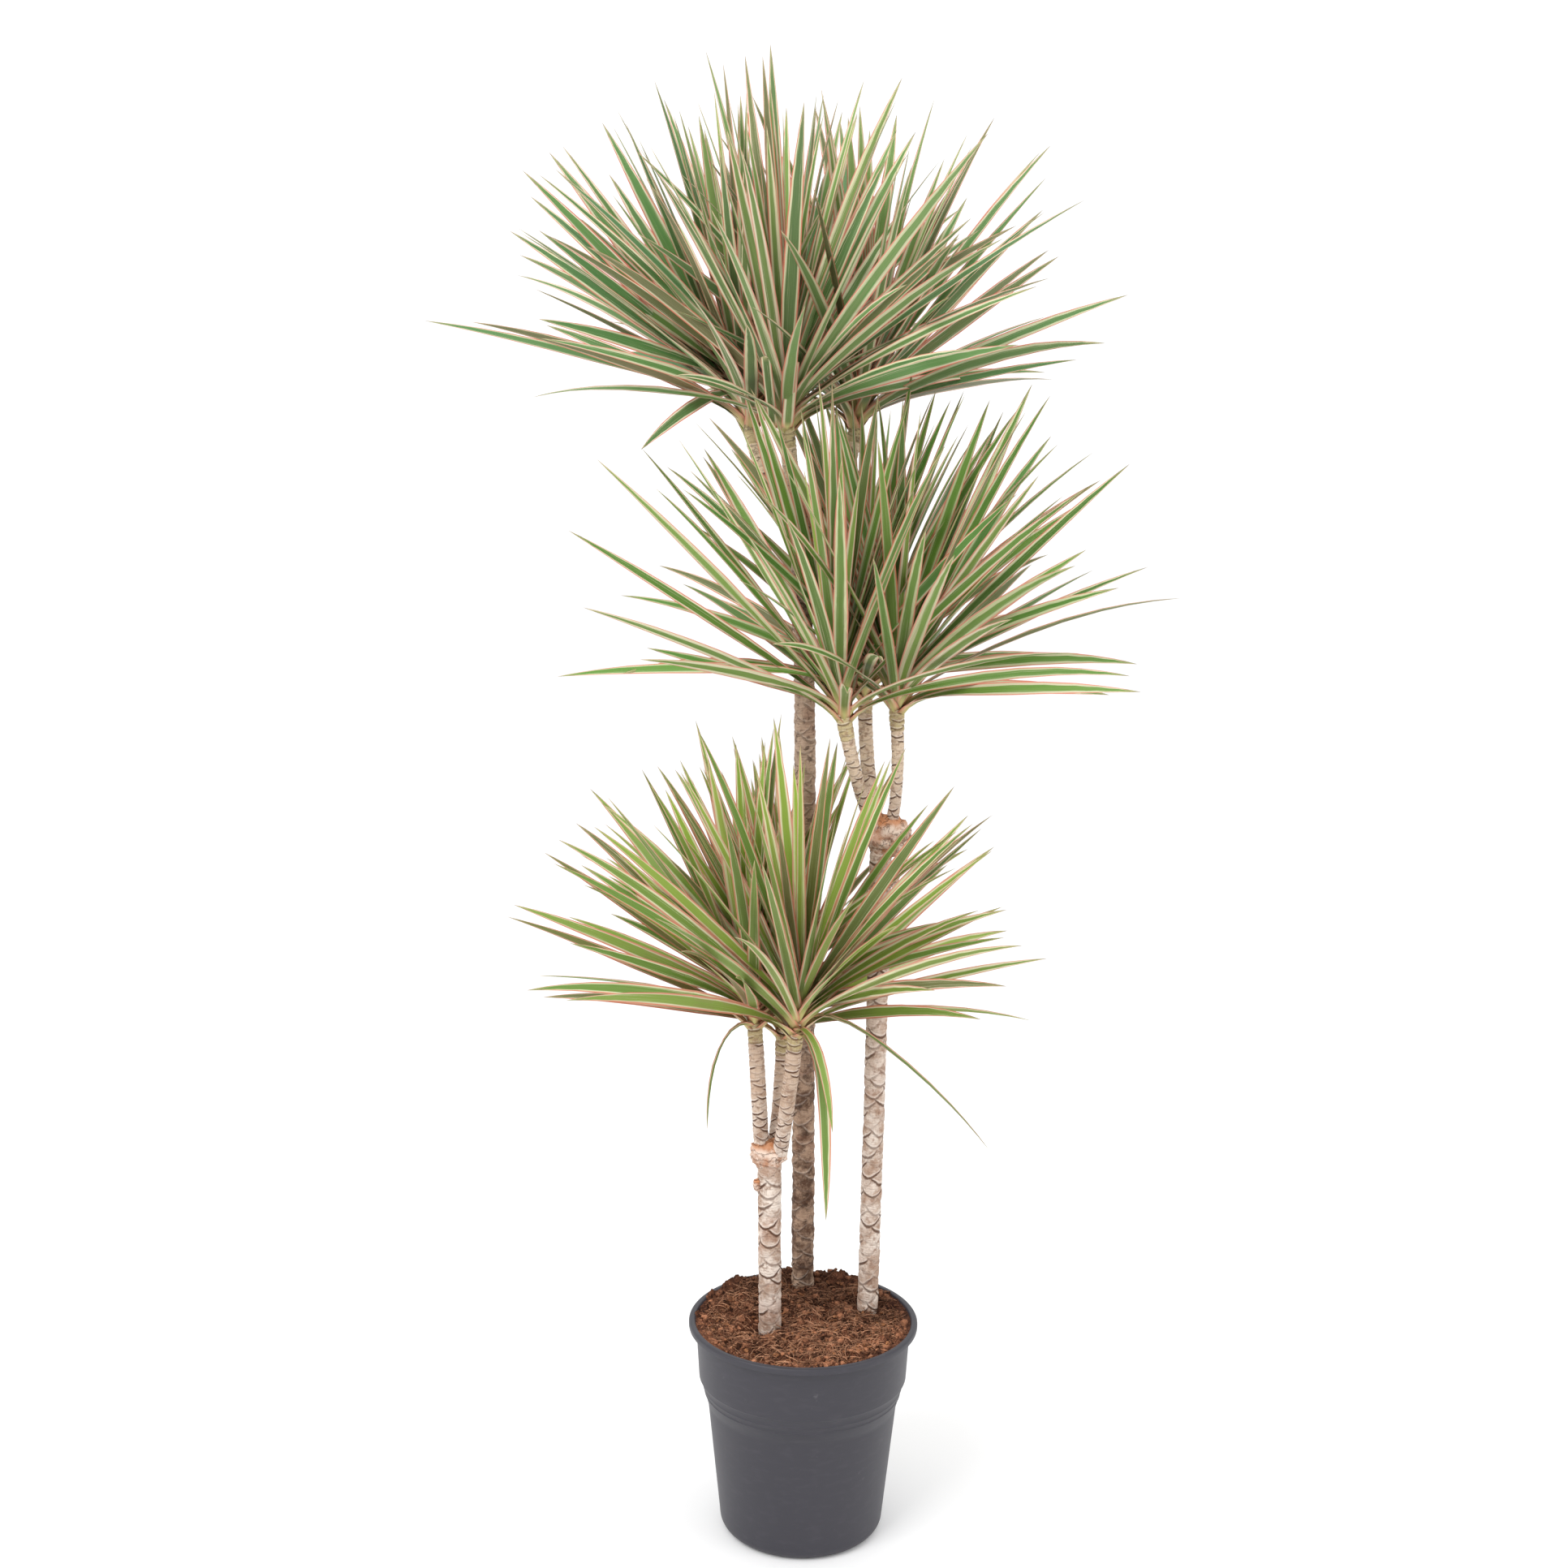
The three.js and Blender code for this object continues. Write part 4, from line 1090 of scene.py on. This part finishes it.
def rootAt(shoot, t, azimuth):
    # where a leaf starts, just under the skin of its head's core
    h = headForm
    out = heading(0.0, azimuth)
    radius = max(lerp(h["coreRadius"], h["coreTopRadius"], t) - h["rootDepth"], 0)
    return shoot["neck"] + shoot["axis"] * lerp(h["lowestRoot"], h["zone"], t) + out * radius


def drawLeaf(shoot, index, draw, attempt):
    # one draw of the leaf at place t in its head's winding: 0 is the oldest and lowest, 1 the youngest
    h = headForm
    t = index / (shoot["leaves"] - 1)
    r1, r2, r3, r4, r5, r6 = (draw() for _ in range(6))
    lift = (r2 - 0.5) * h["pitchJitter"] + attempt * h["pitchReach"]
    swing = h["azimuthJitter"] + attempt * h["azimuthReach"]
    azimuth = shoot["phase"] + index * h["goldenAngle"] + (r1 - 0.5) * swing
    fullness = 1 - h["lengthFall"] * abs(t - h["longest"])
    return {
        "t": t,
        "root": rootAt(shoot, t, azimuth),
        "azimuth": azimuth,
        "pitch": min(lerp(*h["pitches"], t) + lift, h["pitches"][1]),
        "length": shoot["leafLength"] * fullness * (1 + (r3 - 0.5) * h["lengthJitter"]),
        "droop": lerp(*h["droops"], t) * (0.5 + r4),
        "sweep": (r5 - 0.5) * h["sweep"],
        "twist": (r6 - 0.5) * h["twist"],
    }


def riseOf(v):
    return math.degrees(math.atan2(v[2], math.hypot(v[0], v[1])))


def bendTo(leaf, tip):
    # bends a leaf so that its tip lands on a given point
    want = np.array(tip[:3], dtype=float) - leaf["root"]
    bent = {**leaf, "azimuth": math.degrees(math.atan2(want[1], want[0])), "droop": tip[3], "sweep": 0}
    for _ in range(6):
        got = bladeLine(bent)[-1] - leaf["root"]
        bent["pitch"] += riseOf(want) - riseOf(got)
        bent["length"] *= np.linalg.norm(want) / np.linalg.norm(got)
    return bent


def reachingLeaves(shoot):
    # for each outline tip, the free leaf that points nearest to it
    chosen = {}
    for tip in outlineLeaves[shoot["name"]]:
        def away(index):
            leaf = drawLeaf(shoot, index, lambda: 0.5, 0)
            want = unit(np.array(tip[:3]) - leaf["root"])
            return np.linalg.norm(heading(leaf["pitch"], leaf["azimuth"]) - want)
        chosen[min((i for i in range(shoot["leaves"]) if i not in chosen), key=away)] = tip
    return chosen


def caneBoxes(placed, shoots):
    # boxes round every stretch of the canes and round each head's crowded core
    side = np.array((1.0, 0.0, 0.0))
    for cane in canes:
        for path in [cane["trunk"]] + [shoot[3] for shoot in cane["shoots"]]:
            for low, high in zip(path, path[1:]):
                half = max(low[3], high[3]) + headForm["boxSlack"]
                ends = (np.array([p[:3]], dtype=float) for p in (low, high))
                boxes = boxesAround(*ends, side[None], np.array([half]), np.array([half]))
                placed.add((*boxes, np.array([False])), -1)
    for number, shoot in enumerate(shoots):
        top = shoot["neck"] + shoot["axis"] * headForm["coreTop"]
        keep = np.array([headForm["keepOut"]], dtype=float)
        boxes = boxesAround(shoot["neck"][None], top[None], side[None], keep, keep)
        placed.add((*boxes, np.array([True])), number)


def placeLeaves():
    # first the leaves that reach for the outline, then head by head in turn from the oldest up
    shoots = listShoots()
    placed = Placed(headForm["boxRoom"])
    caneBoxes(placed, shoots)
    seed, turnStep, placeStep = headForm["seeds"]

    def place(number, index, tip):
        shoot = shoots[number]
        draw = Draw(seed + shoot["phase"] * turnStep + index * placeStep)
        for attempt in range(headForm["tries"]):
            leaf = drawLeaf(shoot, index, draw, attempt)
            if tip:
                leaf = bendTo(leaf, tip)
            boxes = bladeBoxes(leaf)
            if not placed.crossings(boxes, number):
                placed.add(boxes, number)
                change = tipChanges.get(tip[:3], {}) if tip else {}
                if "tip" in change:
                    leaf = bendTo(leaf, change["tip"])
                shoot["blades"].append({**leaf, **change})
                return

    reaching = [reachingLeaves(shoot) for shoot in shoots]
    for number in range(len(shoots)):
        for index, tip in reaching[number].items():
            place(number, index, tip)
    for index in range(max(shoot["leaves"] for shoot in shoots)):
        for number, shoot in enumerate(shoots):
            if index < shoot["leaves"] and index not in reaching[number]:
                place(number, index, None)
    print("leaves placed:", [len(shoot["blades"]) for shoot in shoots])
    addFans(shoots, placed)
    fillHeads(shoots, placed)
    return shoots


# more leaves that show in front: their tips and how much they droop
fanLeaves = {
    "tall_left": [
        (-283, 20, 1392, 4), (-262, 60, 1414, 4), (-242, 0, 1412, 4), (-262, -30, 1332, 5),
        (-300, 50, 1338, 5), (-262, -40, 1250, 7), (-207, 30, 1438, 3), (-190, -60, 1362, 4),
        (-205, 80, 1396, 4), (-180, -30, 1430, 3), (-283, 80, 1374, 5), (-225, -10, 1300, 6),
        (-170, 20, 1128, 10), (-230, 40, 1350, 5),
    ],
    "mid_left": [
        (-70, -30, 1192, 2), (-59, -50, 1184, 2), (-38, -62, 1166, 2), (-14, -56, 1172, 2),
        (0, -50, 1182, 2), (21, 0, 1178, 2), (-250, -20, 908, 10),
    ],
    "mid_back": [
        (64, 50, 1196, 1), (98, 50, 1212, 1), (37, 40, 1190, 1), (46, 10, 1176, 1),
    ],
    "mid_right": [
        (84, -30, 1180, 1), (213, 20, 1196, 3),
    ],
}
fanForm = {"roots": (0.1, 0.7), "twist": 0.3, "roll": 80, "wide": 1.1, "seeds": (31013, 97)}
# some leaves as they show, by their tips: moved, widened, rolled, twisted or given a tone
tipChanges = {
    (-380, 20, 1250): {"wide": 1.2, "tint": 0.178}, (-250, -20, 908): {"wide": 0.75, "tint": 0.178},
    (-180, 20, 830): {"tip": (-163, 0, 935, 6)}, (-100, -40, 450): {"wide": 0.5, "roll": 40},
    (186, -50, 434): {"wide": 0.62, "roll": 30}, (25, -115, 475): {"wide": 0.8, "roll": 0, "twist": 0},
    (20, -105, 380): {"wide": 1.15, "roll": 0, "twist": 0},
}
fillForm = {
    "counts": {
        "tall_left": 26, "tall_front": 28, "tall_right": 27,
        "mid_left": 15, "mid_back": 16, "mid_right": 4,
        "short_left": 22, "short_right": 14, "short_back": 13,
    },
    "seeds": (50021, 7717, 131), "tries": 14, "turn": 61.0, "pitchJitter": 20, "azimuthJitter": 40,
    "lowest": 0.24, "lengths": (0.70, 0.92), "twist": 0.7,
}


def addFans(shoots, placed):
    # leaves bent to their tips, with their faces turned to the front
    f = fanForm
    seed, headStep = f["seeds"]
    for number, shoot in enumerate(shoots):
        draw = Draw(seed + number * headStep)
        for tip in fanLeaves.get(shoot["name"], ()):
            index = lerp(*f["roots"], draw()) * (shoot["leaves"] - 1)
            leaf = bendTo(drawLeaf(shoot, index, draw, 0), tip)
            leaf["twist"] *= f["twist"]
            leaf["roll"] = f["roll"] * math.cos(math.radians(leaf["azimuth"]))
            leaf["wide"] = f["wide"]
            placed.add(bladeBoxes(leaf), number)
            shoot["blades"].append({**leaf, **tipChanges.get(tip[:3], {})})


def fillHeads(shoots, placed):
    # the rest of the crowded leaves: each takes the draw that meets the fewest others
    f = fillForm
    seed, headStep, leafStep = f["seeds"]
    for index in range(max(f["counts"].values())):
        for number, shoot in enumerate(shoots):
            count = f["counts"][shoot["name"]]
            if index >= count:
                continue
            draw = Draw(seed + number * headStep + index * leafStep)
            best = None
            for attempt in range(f["tries"]):
                t = lerp(f["lowest"], 1, (index + 0.5) / count)
                leaf = drawLeaf(shoot, t * (shoot["leaves"] - 1), draw, attempt)
                leaf["azimuth"] += f["turn"] + (draw() - 0.5) * f["azimuthJitter"]
                leaf["pitch"] = min(leaf["pitch"] + (draw() - 0.5) * f["pitchJitter"], 90)
                leaf["length"] *= lerp(*f["lengths"], draw())
                leaf["twist"] *= f["twist"]
                leaf["root"] = rootAt(shoot, leaf["t"], leaf["azimuth"])
                boxes = bladeBoxes(leaf)
                hits = placed.crossings(boxes, number)
                if best is None or hits < best[0]:
                    best = (hits, leaf, boxes)
                if not hits:
                    break
            placed.add(best[2], number)
            shoot["blades"].append(best[1])
    print("leaves with the crowded ones:", [len(shoot["blades"]) for shoot in shoots])


leafForm = {
    # share of the blade's length, half width, rise of the margins over the middle, depth of the keel
    "shape": (
        (0.0, 7.0, 3.4, 1.5), (0.04, 6.0, 2.6, 1.3), (0.10, 5.8, 2.0, 1.1), (0.2, 6.3, 1.7, 0.9),
        (0.38, 7.2, 1.5, 0.8), (0.58, 6.6, 1.2, 0.7), (0.76, 4.9, 0.8, 0.6), (0.9, 2.5, 0.4, 0.5),
        (0.96, 1.1, 0.1, 0.4), (1.0, 0.0, 0.0, 0.0),
    ),
    "cutShape": (
        (0.0, 5.0, 2.6, 1.4), (0.1, 5.4, 1.8, 1.1), (0.958, 5.6, 1.2, 0.7), (1.0, 0.0, 0.0, 0.0),
    ),
    "rows": (0, 1, 2, 3, 5, 7, 9, 12, 15, 18, 20, 22, 23, 24),
    # how blades turn to the light: by how much in front and at the sides, how many show their upper
    # face, and by which share of their length they have turned
    "rolls": (0, 56), "sideRolls": (16, 84), "upperShare": 0.8, "rollBy": 0.5, "widthSpread": 0.34,
    "seeds": (90001, 613),
}
# two leaves of the front top head are cut short: root, azimuth, pitch, length
cutLeaves = (((-40, -27, 1150), 262, 50, 86), ((-26, -29, 1150), 276, 51, 80))
# each crown's greens, how strong its cream is, and where its coral margin starts
leafTones = {
    "tall": {
        "cool": (58, 112, 66), "warm": (92, 138, 74), "lime": (150, 180, 84), "coral": (212, 98, 78),
        "creamShare": 1.0, "coralFrom": 0.80,
    },
    "mid": {
        "cool": (66, 122, 44), "warm": (98, 142, 46), "lime": (146, 180, 52), "coral": (206, 104, 78),
        "creamShare": 0.92, "coralFrom": 0.78,
    },
    "short": {
        "cool": (91, 128, 39), "warm": (131, 153, 54), "lime": (156, 181, 48), "coral": (194, 108, 80),
        "creamShare": 0.86, "coralFrom": 0.73,
    },
    "all": {
        "deep": (48, 84, 30), "olive": (98, 84, 60), "vein": (170, 196, 118), "cream": (240, 236, 196),
        # the reddish-brown tone of the painted shade at the leaf bases in the crown's core
        "blush": (244, 224, 202), "below": (146, 122, 96), "paintedBaseShade": (140, 74, 58),
        "sheath": (214, 208, 140), "sheathEdge": (206, 132, 108), "tip": (206, 182, 140),
    },
}


def turnToLight(leaf, draw):
    # a leaf that points sideways turns its face to the front, most often the upper one
    sideways = abs(math.cos(math.radians(leaf["azimuth"])))
    side = math.copysign(1.0, math.cos(math.radians(leaf["azimuth"])))
    if draw() > leafForm["upperShare"]:
        side = -side
    return side * lerp(lerp(*leafForm["rolls"], draw()), lerp(*leafForm["sideRolls"], draw()), sideways)


def bladeMesh():
    # one blade as a flat grid wrapped round: left margin, middle, right margin, keel and back
    rows = leafForm["rows"]
    bm = bmesh.new()
    cells = gridCells(bm, 4, len(rows) - 1)
    uvLayer = bm.loops.layers.uv.new("blade")
    across = (0.0, 0.5, 1.0, 0.5, 0.0)
    grid = dict(zip(bm.verts, cells))
    for face in bm.faces:
        for loop in face.loops:
            column, row = grid[loop.vert]
            back = 2.0 if face.calc_center_median().x > 0 else 0.0
            loop[uvLayer].uv = (across[column] + back, rows[row] / rows[-1])
    for vert, (column, row) in grid.items():
        side, layer = ((-1, 0), (0, 1), (1, 0), (0, 2), (-1, 0))[column]
        atTip = row == len(rows) - 1
        vert.co = Vector((0, row, 0)) if atTip else Vector((side, row, layer))
    bmesh.ops.remove_doubles(bm, verts=bm.verts, dist=1e-6)
    bmesh.ops.holes_fill(bm, edges=[e for e in bm.edges if e.is_boundary], sides=0)
    bmesh.ops.recalc_face_normals(bm, faces=bm.faces)
    for edge in bm.edges:
        edge.smooth = abs(edge.verts[0].co.x) < 0.5 or abs(edge.verts[1].co.x) < 0.5
    return formMesh(bm)


def makeHeads():
    shoots = placeLeaves()
    rows = np.array(leafForm["rows"])
    seed, headStep = leafForm["seeds"]
    shapes = {
        cut: np.array([lerpRows(leafForm[table], r / rows[-1]) for r in rows]).T
        for cut, table in ((False, "shape"), (True, "cutShape"))
    }
    finishes = {cane["name"]: leafFinish(cane["name"]) for cane in canes}
    front = next(shoot for shoot in shoots if shoot["name"] == "tall_front")
    for root, azimuth, pitch, length in cutLeaves:
        front["blades"].append({
            "t": 0.3, "root": np.array(root, dtype=float), "azimuth": azimuth, "pitch": pitch,
            "length": length, "droop": 2, "sweep": 0, "twist": 0, "roll": 0, "cut": True,
        })
    for number, shoot in enumerate(shoots):
        name = "leaves" + "".join(part.capitalize() for part in shoot["name"].split("_"))
        piece, corners = copies(name, bladeMesh(), len(shoot["blades"]), finishes[shoot["crown"]])
        draw = Draw(seed + number * headStep)
        row = corners[:, 1].round().astype(int)
        places, tint, age = [], [], []
        for leaf in shoot["blades"]:
            halfWidth, rise, keel = shapes["cut" in leaf]
            layers = [corners[:, 2] == 1, corners[:, 2] == 2]
            lift = np.select(layers, [0.0, keel[row]], -rise[row])
            leaf.setdefault("roll", turnToLight(leaf, draw))
            at, across, under = bladeFrames(leaf, rows)
            wide = (1 + (draw() - 0.5) * leafForm["widthSpread"]) * leaf.get("wide", 1)
            out = corners[:, 0] * halfWidth[row] * wide
            places.append(at[row] + across[row] * out[:, None] + under[row] * lift[:, None])
            tint += [leaf.get("tint", draw())] * len(corners)
            age += [1 - leaf["t"]] * len(corners)
        moveCopies(piece, places)
        setValues(piece, "tint", tint)
        setValues(piece, "age", age)
        dress(piece, "head_" + shoot["name"])
    print("leaves made")


def leafFinish(crown):
    # a green middle with cream stripes and coral margins, duller below, with reddish painted shade
    # towards the base of older leaves, on a pale clasping base
    tones = {**leafTones["all"], **leafTones[crown]}
    creamShare, coralFrom = tones.pop("creamShare"), tones.pop("coralFrom")
    tone = linearTones(tones)
    finish = Finish(crown + "Leaf", 0.4, 0.35)
    uv = finish.node("UVMap", {"uv_map": "blade"})
    column, along = finish.split(uv, 0), finish.split(uv, 1)
    tint, age = finish.attribute("tint"), finish.attribute("age")
    below = column.math("GREATER_THAN", column, 1.5)
    across = column - below * 2.0
    edge = abs(across - 0.5) * 2.0
    wander = finish.noise(finish.placeAt(across * 1.5, along * 3.0, tint * 40.0), 1.0, 2.0) - 0.5
    drift = edge + wander * 0.3
    streaks = finish.noise(finish.placeAt(across * 26.0, along * 1.6, tint * 61.0), 1.0, 3.0, 0.6)
    veins = finish.noise(finish.placeAt(across * 110.0, along * 4.0, tint * 17.0), 1.0, 2.0)
    kind, hue, shade = ((tint * step).fraction() for step in (7.31, 3.17, 11.9))

    green = finish.mix(hue, tone["cool"], tone["warm"])
    green = finish.mix(shade * 0.5, green, tone["deep"])
    young = (kind.between(0.5, 0.8) * 0.6 + age.between(0.3, 0.05) * 0.5).clamped() * (1.0 - age)
    green = finish.mix(young * 0.75, green, tone["lime"])
    olive = kind.between(0.16, 0.08)
    green = finish.mix(olive * 0.7, green, tone["olive"])
    green = finish.mix(veins.between(0.35, 0.7) * 0.22, green, tone["vein"])
    cream = finish.mix(hue, tone["cream"], tone["blush"])
    stripe = (drift + kind * 0.3 - 0.15).between(0.47, 0.62) * (0.6 + 0.4 * streaks.between(0.35, 0.6))
    thin = streaks.between(0.60, 0.66) * edge.between(0.05, 0.3) * 0.7
    skin = finish.mix((stripe + thin).clamped() * (0.6 + 0.4 * shade) * creamShare, green, cream)
    coral = finish.mix(kind, tone["coral"], linear(*(0.7 * part + 70 for part in tones["coral"])))
    skin = finish.mix(edge.between(coralFrom, coralFrom + 0.09) * 0.9, skin, coral)
    skin = finish.mix(below * 0.16, skin, tone["below"])
    # reddish-brown painted shade towards each leaf's base, stronger on older leaves
    paintedBaseShade = (1.0 - along) ** 3.0 * age * (0.2 + 0.5 * olive)
    skin = finish.mix(paintedBaseShade, skin, tone["paintedBaseShade"])
    sheath = finish.mix(edge, tone["sheath"], tone["sheathEdge"])
    skin = finish.mix(along.between(0.12, 0.02) * 0.8, skin, sheath)
    skin = finish.mix(along.between(0.9, 1.0) * 0.5, skin, tone["tip"])
    finish.set("Base Color", skin)
    finish.set("Roughness", 0.34 + 0.14 * veins + 0.14 * below)
    finish.bump(veins, 0.0002, 0.5)
    return finish.material


makeStage()
makePot()
makeSoil()
makeCanes()
makeHeads()
